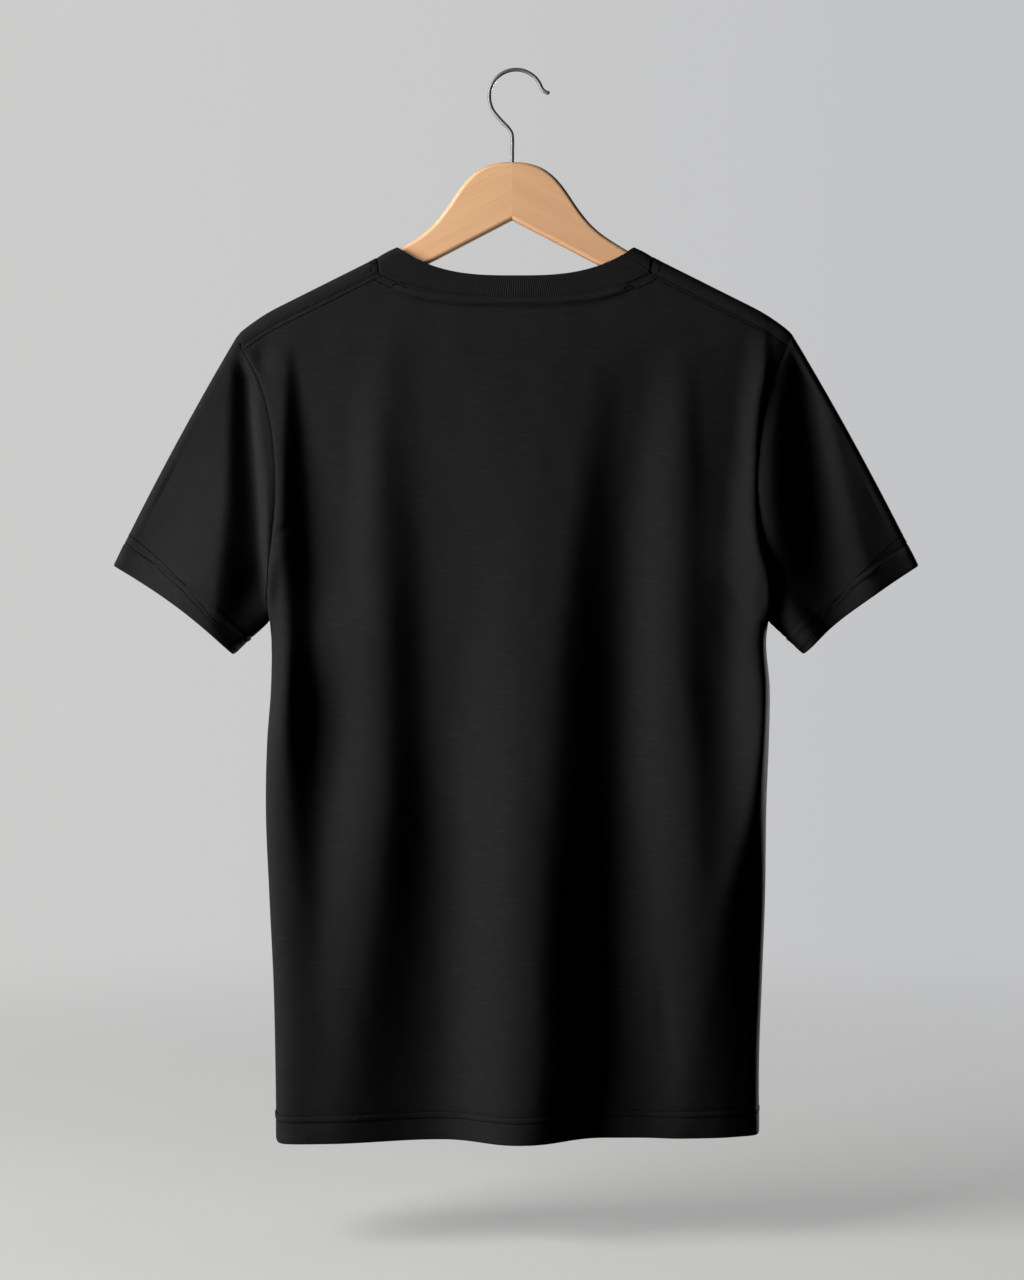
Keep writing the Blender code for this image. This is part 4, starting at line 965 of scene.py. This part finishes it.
def read_curve(route, apart):
    """Points a distance apart along a smooth curve through the route's points."""
    route = np.array(route)
    at = np.concatenate([[0.0], np.cumsum(np.linalg.norm(np.diff(route, axis=0), axis=1))])
    return read(at, route, np.linspace(0.0, at[-1], int(at[-1] / apart) + 1))


def hanger_side(side):
    """One side of the hanger's outline, from its dome round the tip to the underside."""
    head = read_curve(HEAD, HEAD_STEP)
    points = [(HANGER_X + side * wide, APEX_TOP - below) for wide, below in head[1:]]
    for x in np.linspace(ARM_START, ARM_END, ARM_STEPS):
        points.append((side * x, float(shoulder_line(x)) - WOOD_DROP))
    tilt = math.atan(UNDER_SLOPE)
    outward = np.array([math.cos(tilt), -math.sin(tilt)])
    up = np.array([math.sin(tilt), math.cos(tilt)])
    top = np.array([ARM_END, points[-1][1]])
    under = APEX_UNDER - UNDER_SLOPE * abs(side * ARM_END - HANGER_X)
    radius = (top[1] - under) * math.cos(tilt) / 2
    for turn in np.linspace(math.pi / 2, -math.pi / 2, TIP_STEPS + 1)[1:]:
        x, z = top - radius * up + radius * (math.cos(turn) * outward + math.sin(turn) * up)
        points.append((side * x, z))
    return points


def hanger_plate():
    """The hanger in one piece: its outline drawn out to its thickness, with rounded long edges."""
    left, right = hanger_side(1), hanger_side(-1)
    outline = [(HANGER_X, APEX_TOP)] + left + [(HANGER_X, APEX_UNDER)] + right[::-1]
    bpy.ops.object.select_all(action="DESELECT")
    bpy.ops.mesh.primitive_circle_add(vertices=len(outline), radius=0.1, fill_type="NGON")
    plate = bpy.context.object
    for vertex, (x, z) in zip(plate.data.vertices, outline):
        vertex.co = (x, -WOOD / 2, z)
    bpy.ops.object.mode_set(mode="EDIT")
    bpy.ops.mesh.select_all(action="SELECT")
    bpy.ops.mesh.extrude_region_move(TRANSFORM_OT_translate={"value": (0, WOOD, 0)})
    bpy.ops.mesh.select_all(action="SELECT")
    bpy.ops.mesh.normals_make_consistent(inside=False)
    bpy.ops.object.mode_set(mode="OBJECT")
    select_edges(plate, lambda a, b: abs(a.y - b.y) < LEVEL)
    bpy.ops.object.mode_set(mode="EDIT")
    bpy.ops.mesh.bevel(offset=WOOD_EDGE, segments=EDGE_STEPS, profile=0.5, clamp_overlap=False)
    bpy.ops.object.mode_set(mode="OBJECT")
    return plate


def select_edges(piece, wanted):
    """Select the edges whose two ends are wanted, and nothing else."""
    activate(piece)
    bpy.ops.object.mode_set(mode="EDIT")
    bpy.ops.mesh.select_mode(type="EDGE")
    bpy.ops.mesh.select_all(action="DESELECT")
    bpy.ops.object.mode_set(mode="OBJECT")
    mesh = piece.data
    for edge in mesh.edges:
        a, b = (mesh.vertices[i].co for i in edge.vertices)
        edge.select = wanted(a, b)


def hanger_half(name, plate, side):
    """One mitred half of the hanger, with its share of the hole for the hook's stem."""
    half = plate.copy()
    half.data = plate.data.copy()
    half.name = name
    half.data.name = name
    bpy.context.collection.objects.link(half)
    activate(half)
    cut = HANGER_X + side * MITRE_GAP / 2
    bpy.ops.object.mode_set(mode="EDIT")
    bpy.ops.mesh.select_all(action="SELECT")
    bpy.ops.mesh.bisect(plane_co=(cut, 0, 0), plane_no=(side, 0, 0), use_fill=True, clear_inner=True)
    bpy.ops.object.mode_set(mode="OBJECT")
    select_edges(half, lambda a, b: max(abs(a.x - cut), abs(b.x - cut)) < ON_THE_CUT)
    bpy.ops.object.mode_set(mode="EDIT")
    bpy.ops.mesh.bevel(offset=MITRE_EDGE, segments=2)
    bpy.ops.object.mode_set(mode="OBJECT")
    drill_start, drill_end = APEX_TOP + DRILL_ABOVE, APEX_TOP - STEM_DEPTH - STEM_CLEARANCE
    bpy.ops.object.select_all(action="DESELECT")
    bpy.ops.mesh.primitive_cylinder_add(
        vertices=HOLE_SIDES, radius=WIRE / 2 + STEM_CLEARANCE, depth=drill_start - drill_end,
        location=(HANGER_X, 0, (drill_start + drill_end) / 2))
    drill = bpy.context.object
    hole = half.modifiers.new("stem hole", "BOOLEAN")
    hole.object = drill
    hole.solver = "EXACT"
    activate(half)
    bpy.ops.object.modifier_apply(modifier=hole.name)
    bpy.data.objects.remove(drill)
    activate(half)
    bpy.ops.object.shade_smooth_by_angle(angle=SOFTENED)
    even = half.modifiers.new("even light on the flat sides", "WEIGHTED_NORMAL")
    even.keep_sharp = True
    bpy.ops.object.modifier_apply(modifier=even.name)
    return half


def hook_piece(name):
    """The wire hook, from its stem in the wood to its rounded end."""
    crown_z = WIRE / 2 - CROWN_RADIUS
    route = [(HANGER_X, APEX_TOP - STEM_DEPTH), (HANGER_X, (APEX_TOP + STEM_TOP) / 2)]
    route += [(HANGER_X, STEM_TOP), *NECK_OF_HOOK]
    for turn in np.radians(np.linspace(CROWN_START, CROWN_END, CROWN_STEPS)):
        route.append((CROWN_X + CROWN_RADIUS * math.cos(turn), crown_z + CROWN_RADIUS * math.sin(turn)))
    points = read_curve(route + list(TIP_OF_HOOK), WIRE_STEP)
    ahead = points[-1] - points[-2]
    ahead /= np.linalg.norm(ahead)
    caps = [(math.sin(turn), math.cos(turn)) for turn in np.linspace(0.0, math.pi / 2, CAP_STEPS)[1:]]
    curve = bpy.data.curves.new(name, "CURVE")
    curve.dimensions = "3D"
    curve.bevel_depth = WIRE / 2
    curve.bevel_resolution = WIRE_ROUND
    curve.use_fill_caps = True
    spline = curve.splines.new("POLY")
    spline.points.add(len(points) + len(caps) - 1)
    for i, (x, z) in enumerate(points):
        spline.points[i].co = (x, 0.0, z, 1.0)
    for i, (further, size) in enumerate(caps):
        x, z = points[-1] + ahead * further * WIRE / 2 * CAP_LONG
        spline.points[len(points) + i].co = (x, 0.0, z, 1.0)
        spline.points[len(points) + i].radius = max(size, CAP_LEAST)
    made = bpy.data.objects.new(name, curve)
    bpy.context.collection.objects.link(made)
    activate(made)
    bpy.ops.object.convert(target="MESH")
    weld(bpy.context.object)
    bpy.ops.object.shade_smooth_by_angle(angle=WIRE_SOFTENED)
    return bpy.context.object


# ---------------------------------------------------------------- finishes
class Amount:
    """A number in a shader, so that maths on it is written as in Python."""

    def __init__(self, finish, socket):
        self.finish = finish
        self.socket = socket

    def maths(self, operation, *others):
        sockets = dict(enumerate((self, *others)))
        return Amount(self.finish, self.finish.node(
            "ShaderNodeMath", {"operation": operation}, sockets).outputs[0])

    def __add__(self, other):
        return self.maths("ADD", other)

    def __sub__(self, other):
        return self.maths("SUBTRACT", other)

    def __mul__(self, other):
        return self.maths("MULTIPLY", other)

    def __rsub__(self, other):
        return (self * -1.0).maths("ADD", other)

    __radd__ = __add__
    __rmul__ = __mul__


class Finish:
    """A material being made, from nodes."""

    def __init__(self, name):
        self.material = bpy.data.materials.new(name)
        self.material.use_nodes = True
        self.tree = self.material.node_tree
        self.shader = self.tree.nodes["Principled BSDF"]

    def node(self, kind, settings, sockets):
        """A node of a kind, its settings made first and then its sockets set or linked."""
        made = self.tree.nodes.new(kind)
        for name, value in settings.items():
            if name == "stops":
                while len(made.color_ramp.elements) < len(value):
                    made.color_ramp.elements.new(0.5)
                for element, (place, colour) in zip(made.color_ramp.elements, value):
                    element.position = place
                    element.color = (*colour, 1.0)
            else:
                setattr(made, name, value)
        self.fill(made, sockets)
        return made

    def fill(self, made, sockets):
        """Set or link the sockets of a node."""
        for name, value in sockets.items():
            value = getattr(value, "socket", value)
            if isinstance(value, bpy.types.NodeSocket):
                self.tree.links.new(value, made.inputs[name])
            else:
                made.inputs[name].default_value = value

    def place(self, source="Object", stretch=(1, 1, 1), turn=(0, 0, 0)):
        """Places on the piece, in metres, turned and then stretched."""
        where = self.node("ShaderNodeTexCoord", {}, {}).outputs[source]
        turned = self.node("ShaderNodeMapping", {}, {"Vector": where, "Rotation": turn})
        return self.node("ShaderNodeMapping", {}, {
            "Vector": turned.outputs["Vector"], "Scale": stretch}).outputs["Vector"]

    def noise(self, where, scale, detail=2.0, roughness=0.5):
        """Soft uneven spots from 0 to 1."""
        return Amount(self, self.node("ShaderNodeTexNoise", {}, {
            "Vector": where, "Scale": scale, "Detail": detail, "Roughness": roughness}).outputs["Fac"])

    def part(self, where, axis):
        """One coordinate of a place."""
        return Amount(self, self.node("ShaderNodeSeparateXYZ", {}, {"Vector": where}).outputs[axis])

    def ramp(self, amount, *stops):
        """A colour for each amount."""
        return self.node("ShaderNodeValToRGB", {"stops": stops}, {"Fac": amount}).outputs["Color"]

    def blend(self, amount, start, end):
        """From one colour to another."""
        return self.node("ShaderNodeMix", {"data_type": "RGBA"}, {
            "Factor": amount, 6: start, 7: end}).outputs[2]

    def level(self, amount, low, high):
        """0 under a low amount and 1 over a high one, with a soft step."""
        return Amount(self, self.node("ShaderNodeMapRange", {"interpolation_type": "SMOOTHSTEP"}, {
            "Value": amount, "From Min": low, "From Max": high}).outputs["Result"])

    def bump(self, height, distance, strength=1.0):
        """The direction of a surface with that height."""
        return self.node("ShaderNodeBump", {}, {
            "Height": height, "Distance": distance, "Strength": strength}).outputs["Normal"]

    def finish(self, **sockets):
        """Set the shader's sockets, their names written with _ for a space."""
        self.fill(self.shader, {name.replace("_", " "): value for name, value in sockets.items()})
        return self.material


JERSEY_WALE = 0.00105       # width of one wale of stitches
JERSEY_COURSE = 0.00080     # height of one course
RIB_WALE = 0.00150
# Across the grain the deeper band of the wood starts and ends between these two pairs of heights.
DEEPER_BAND = (-0.118, -0.112, -0.100, -0.092)


def knit(finish, where, wale, course):
    """Height of a plain knit: two slanting legs of yarn in each stitch."""
    across, up = finish.part(where, "X"), finish.part(where, "Y")
    leg = (across * (1.0 / wale)).maths("PINGPONG", 0.5)
    legs = (leg * (2 * math.pi)).maths("SINE")
    slant = ((up * (1.0 / course) + leg * 1.2) * (2 * math.pi)).maths("SINE")
    return legs * 0.65 + slant * 0.35


def jersey():
    """Black cotton jersey, its stitches running up the cloth, with faint thick places across it."""
    cloth = Finish("black cotton jersey")
    where = cloth.place("UV")
    stitches = knit(cloth, where, JERSEY_WALE, JERSEY_COURSE)
    streaks = cloth.noise(cloth.place("UV", (42.0, 520.0, 1.0)), 1.0, 3.0, 0.6)
    fine_streaks = cloth.noise(cloth.place("UV", (95.0, 1200.0, 1.0)), 1.0, 2.0, 0.5)
    fuzz = cloth.noise(cloth.place("Object"), 2600.0, 2.0, 0.6)
    patches = cloth.noise(cloth.place("Object"), 14.0, 3.0, 0.55)
    slub = cloth.level(streaks, 0.50, 0.78) * 0.60 + cloth.level(fine_streaks, 0.48, 0.78) * 0.40
    # Painted shade: stitches * 0.10 makes the colour darker where the knit's stitches sink in the bump.
    tone = slub + fuzz * 0.30 + patches * 0.22 + stitches * 0.10
    colour = cloth.ramp(tone, (0.10, (0.0066, 0.0066, 0.0068)), (1.0, (0.0140, 0.0138, 0.0140)))
    height = stitches * 0.75 + streaks * 0.40 + fuzz * 0.45
    return cloth.finish(
        Base_Color=colour, Roughness=0.86 + 0.10 * patches, Normal=cloth.bump(height, 0.00014),
        Sheen_Weight=0.01, Sheen_Roughness=0.5, Sheen_Tint=(1.0, 1.0, 1.0, 1.0), IOR=1.2)


def rib():
    """Black cotton rib: ridges that run across the band."""
    cloth = Finish("black cotton rib")
    where = cloth.place("UV")
    ridge = (cloth.part(where, "X") * (2 * math.pi / RIB_WALE)).maths("SINE")
    stitches = knit(cloth, where, RIB_WALE / 2, JERSEY_COURSE)
    fuzz = cloth.noise(cloth.place("Object"), 2400.0, 2.0, 0.6)
    patches = cloth.noise(cloth.place("Object"), 18.0, 3.0, 0.5)
    # Painted shade: ridge * 0.12 makes the colour darker in the grooves between the ribs, where the same
    # ridges sink in the bump.
    tone = fuzz * 0.5 + patches * 0.3 + ridge * 0.12
    colour = cloth.ramp(tone, (0.1, (0.0062, 0.0062, 0.0064)), (1.0, (0.0130, 0.0130, 0.0132)))
    height = ridge + stitches * 0.25 + fuzz * 0.30
    return cloth.finish(
        Base_Color=colour, Roughness=0.88 + 0.08 * patches, Normal=cloth.bump(height, 0.00020),
        Sheen_Weight=0.01, Sheen_Roughness=0.5, Sheen_Tint=(1.0, 1.0, 1.0, 1.0), IOR=1.2)


def thread():
    """Black sewing thread, black of its own and painted far darker than the cloth as the shade round each
    stitch, and without a shine.
    """
    yarn = Finish("black sewing thread with painted shade")
    twist = yarn.noise(yarn.place("Object"), 3200.0, 1.0, 0.5)
    # Partly painted shade: the thread's own black is set about ten times darker than the cloth, for the
    # shadows in and round its stitches.
    colour = yarn.ramp(twist, (0.3, (0.0006, 0.0006, 0.0006)), (0.7, (0.0014, 0.0014, 0.0014)))
    return yarn.finish(Base_Color=colour, Roughness=0.75 + 0.2 * twist, Normal=yarn.bump(twist, 0.00006),
                       Specular_IOR_Level=0.05)


def wood(name, side, light, dark, shade=None):
    """Pale planed wood under a satin varnish, its grain along one half's arm, with a deeper band."""
    timber = Finish(name)
    turn = (0.0, side * -math.atan(UNDER_SLOPE), 0.0)
    grain_place = timber.place("Object", (16.0, 260.0, 620.0), turn)
    pore_place = timber.place("Object", (60.0, 1500.0, 3400.0), turn)
    band_place = timber.place("Object", (3.0, 20.0, 42.0), turn)
    grain = timber.noise(grain_place, 1.0, 4.0, 0.6)
    pores = timber.noise(pore_place, 1.0, 2.0, 0.5)
    bands = timber.noise(band_place, 1.0, 2.0, 0.5)
    tone = grain * 0.50 + bands * 0.50 + pores * 0.10
    colour = timber.ramp(tone, (0.34, dark), (0.62, light), (0.80, light))
    if shade:
        start, deep, fading, end = shade
        lower = timber.part(timber.place("Object", turn=turn), "Z")
        band = timber.level(lower, start, deep) * timber.level(lower, end, fading)
        colour = timber.blend(band * 0.55 * grain, colour, (*dark, 1.0))
    pits = timber.level(pores, 0.62, 0.74)
    colour = timber.blend(pits * 0.15, colour, (*(channel * 0.6 for channel in dark), 1.0))
    height = grain * 0.5 + pores * 0.5
    return timber.finish(
        Base_Color=colour, Roughness=0.40 + 0.18 * grain, Normal=timber.bump(height, 0.00005),
        Coat_Weight=0.25 + 0.1 * bands, Coat_Roughness=0.28)


def steel():
    """Drawn steel wire, a little dull and faintly clouded."""
    wire = Finish("drawn steel wire")
    clouds = wire.noise(wire.place("Object"), 90.0, 2.0, 0.5)
    colour = wire.ramp(clouds, (0.3, (0.17, 0.17, 0.175)), (0.7, (0.22, 0.22, 0.225)))
    return wire.finish(Base_Color=colour, Metallic=0.55 + 0.10 * clouds, Roughness=0.42 + 0.08 * clouds)


# ---------------------------------------------------------------- room, light and camera
FLOOR = -0.955
FLOOR_RADIUS = 3.2
FLOOR_GLOW = 0.37
CAMERA = (0.0029, 2.6, -0.467)
LENS = 89.0
LOOK_AT = Vector((0.0, 0.0, -0.47))
Lamp = namedtuple("Lamp", "name lights place width height power colour")
LAMPS = (
    Lamp("key", "shirt", (1.42, 0.82, -0.50), 0.72, 2.0, 64.0, (1.0, 0.99, 0.975)),
    Lamp("top", "shirt", (1.60, 0.45, 0.80), 0.5, 0.5, 26.0, (1.0, 1.0, 1.0)),
    Lamp("fill", "shirt", (-2.6, 3.2, 0.6), 2.4, 2.4, 0.5, (0.95, 0.97, 1.0)),
    Lamp("front key", "shirt", (-1.9, -3.0, -0.45), 0.9, 0.9, 130.0, (1.0, 1.0, 1.0)),
    Lamp("front fill", "shirt", (1.6, -3.2, 0.2), 2.4, 2.4, 24.0, (1.0, 1.0, 1.0)),
    Lamp("floor lamp", "floor", (2.0, 1.2, 0.90), 1.8, 1.8, 120.0, (1.0, 0.995, 0.985)),
)
ROOM_LIGHT = 0.008
# Painted light: the wall seen behind the shirt is lighter at +X, where the key lamp stands, and darker at
# -X, a painted falloff of its light.
WALL_PAINTED_LIT = (0.610, 0.610, 0.605)
WALL_PAINTED_SHADED = (0.545, 0.550, 0.560)


def light_room(floor):
    """Soft lamps round the hanging shirt, one over the floor, and a pale room behind it, its wall painted
    lighter towards +X on the key lamp's side and darker towards -X: painted light.
    """
    groups = {}
    for name, state in (("floor", "INCLUDE"), ("shirt", "EXCLUDE")):
        groups[name] = bpy.data.collections.new(name + " lamps")
        groups[name].objects.link(floor)
        groups[name].collection_objects[0].light_linking.link_state = state
    for lamp in LAMPS:
        data = bpy.data.lights.new(lamp.name, "AREA")
        data.shape = "RECTANGLE"
        data.size = lamp.width
        data.size_y = lamp.height
        data.energy = lamp.power
        data.color = lamp.colour
        light = bpy.data.objects.new(lamp.name, data)
        light.location = lamp.place
        light.rotation_euler = (LOOK_AT - Vector(lamp.place)).to_track_quat("-Z", "Y").to_euler()
        light.visible_camera = False
        light.light_linking.receiver_collection = groups[lamp.lights]
        bpy.context.collection.objects.link(light)
    world = bpy.data.worlds.new("pale room")
    bpy.context.scene.world = world
    world.use_nodes = True
    tree = world.node_tree
    nodes, links = tree.nodes, tree.links
    nodes.clear()
    way = nodes.new("ShaderNodeTexCoord")
    parts = nodes.new("ShaderNodeSeparateXYZ")
    links.new(way.outputs["Generated"], parts.inputs[0])
    ramp = nodes.new("ShaderNodeMapRange")
    ramp.inputs["From Min"].default_value = -0.14
    ramp.inputs["From Max"].default_value = 0.14
    links.new(parts.outputs["X"], ramp.inputs["Value"])
    # painted light: the wall blends from its painted shaded colour at -X to its painted lit colour at +X
    wall = nodes.new("ShaderNodeMix")
    wall.data_type = "RGBA"
    wall.inputs[6].default_value = (*WALL_PAINTED_SHADED, 1.0)
    wall.inputs[7].default_value = (*WALL_PAINTED_LIT, 1.0)
    links.new(ramp.outputs["Result"], wall.inputs["Factor"])
    seen = nodes.new("ShaderNodeBackground")
    links.new(wall.outputs[2], seen.inputs["Color"])
    lighting = nodes.new("ShaderNodeBackground")
    lighting.inputs["Color"].default_value = (0.96, 0.98, 1.0, 1.0)
    lighting.inputs["Strength"].default_value = ROOM_LIGHT
    path = nodes.new("ShaderNodeLightPath")
    mix = nodes.new("ShaderNodeMixShader")
    links.new(path.outputs["Is Camera Ray"], mix.inputs[0])
    links.new(lighting.outputs[0], mix.inputs[1])
    links.new(seen.outputs[0], mix.inputs[2])
    out = nodes.new("ShaderNodeOutputWorld")
    links.new(mix.outputs[0], out.inputs["Surface"])


def lay_floor():
    """A pale floor under the shirt that fades away into the room."""
    bpy.ops.object.select_all(action="DESELECT")
    bpy.ops.mesh.primitive_circle_add(vertices=96, radius=FLOOR_RADIUS, fill_type="NGON",
                                      location=(0, 0, FLOOR))
    floor = bpy.context.object
    floor.name = "floor"
    floor_finish = Finish("pale floor")
    where = floor_finish.place("Object")
    far = Amount(floor_finish, floor_finish.node(
        "ShaderNodeVectorMath", {"operation": "LENGTH"}, {0: where}).outputs["Value"])
    uneven = floor_finish.noise(where, 3.0)
    colour = floor_finish.ramp(uneven, (0.3, (0.24, 0.24, 0.238)), (0.7, (0.26, 0.26, 0.258)))
    floor.data.materials.append(floor_finish.finish(
        Base_Color=colour, Roughness=0.9, Emission_Color=(1.0, 1.0, 0.99, 1.0),
        Emission_Strength=FLOOR_GLOW, Alpha=1.0 - floor_finish.level(far, 0.35, 2.6)))
    floor.visible_diffuse = False
    floor.visible_glossy = False
    return floor


def set_camera():
    """A level camera behind the wearer."""
    data = bpy.data.cameras.new("camera")
    data.sensor_width = 36.0
    data.lens = LENS
    camera = bpy.data.objects.new("camera", data)
    camera.location = CAMERA
    camera.rotation_euler = (math.pi / 2, 0.0, math.pi)
    bpy.context.collection.objects.link(camera)
    bpy.context.scene.camera = camera
    bpy.context.scene.view_settings.view_transform = "Standard"


# ---------------------------------------------------------------- putting it together
def dress(piece, finish, node=None):
    """Give a piece its finish, and let it stand for its solid."""
    piece.data.materials.clear()
    piece.data.materials.append(finish)
    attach(piece, "root")
    if node:
        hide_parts(node)


def main():
    set_camera()
    light_room(lay_floor())
    cotton, ribbing, yarn = jersey(), rib(), thread()
    back, front = body_grid("back"), body_grid("front")
    panels = {}
    for piece, grid in (("back", back), ("front", front)):
        made, lines, neck, shoulders = body_panel(piece + "_cloth", piece, grid)
        surface = surface_of(made)
        middle = np.array([0.0, neck[:, 1].mean(), NECK_BACK + ABOVE_NECK])
        lines += [beside(surface, neck, line, middle) for line in NECK_ALLOWANCE.lines]
        if piece == "back":
            lines += [beside(surface, line, SHOULDER_ALLOWANCE.lines[0], OVERHEAD) for line in shoulders]
        stitches = sew(piece + "_stitches", made, lines)
        dress(made, cotton, piece + "_panel")
        dress(stitches, yarn)
        panels[piece] = (made, stitches)
    for sleeve in SLEEVES:
        made, rows = sleeve_piece(sleeve.name + "_cloth", sleeve, back, front)
        stitches = sew(sleeve.name + "_stitches", made, rows)
        dress(made, cotton, sleeve.name)
        dress(stitches, yarn)
        panels[sleeve.name] = (made, stitches)
    band = neckband_piece("neckband_cloth", back, front)
    dress(band, ribbing, "neckband")
    panels["neckband"] = (band, None)

    plate = hanger_plate()
    left = wood("left hanger wood", 1, (0.74, 0.43, 0.235), (0.66, 0.365, 0.185))
    right = wood("right hanger wood", -1, (0.69, 0.40, 0.215), (0.59, 0.32, 0.16), DEEPER_BAND)
    for name, side, finish in (("hanger_left", 1, left), ("hanger_right", -1, right)):
        dress(hanger_half(name + "_wood", plate, side), finish, name)
    bpy.data.objects.remove(plate)
    dress(hook_piece("hook_wire"), steel(), "hanger_hook")
    return panels


panels = main()
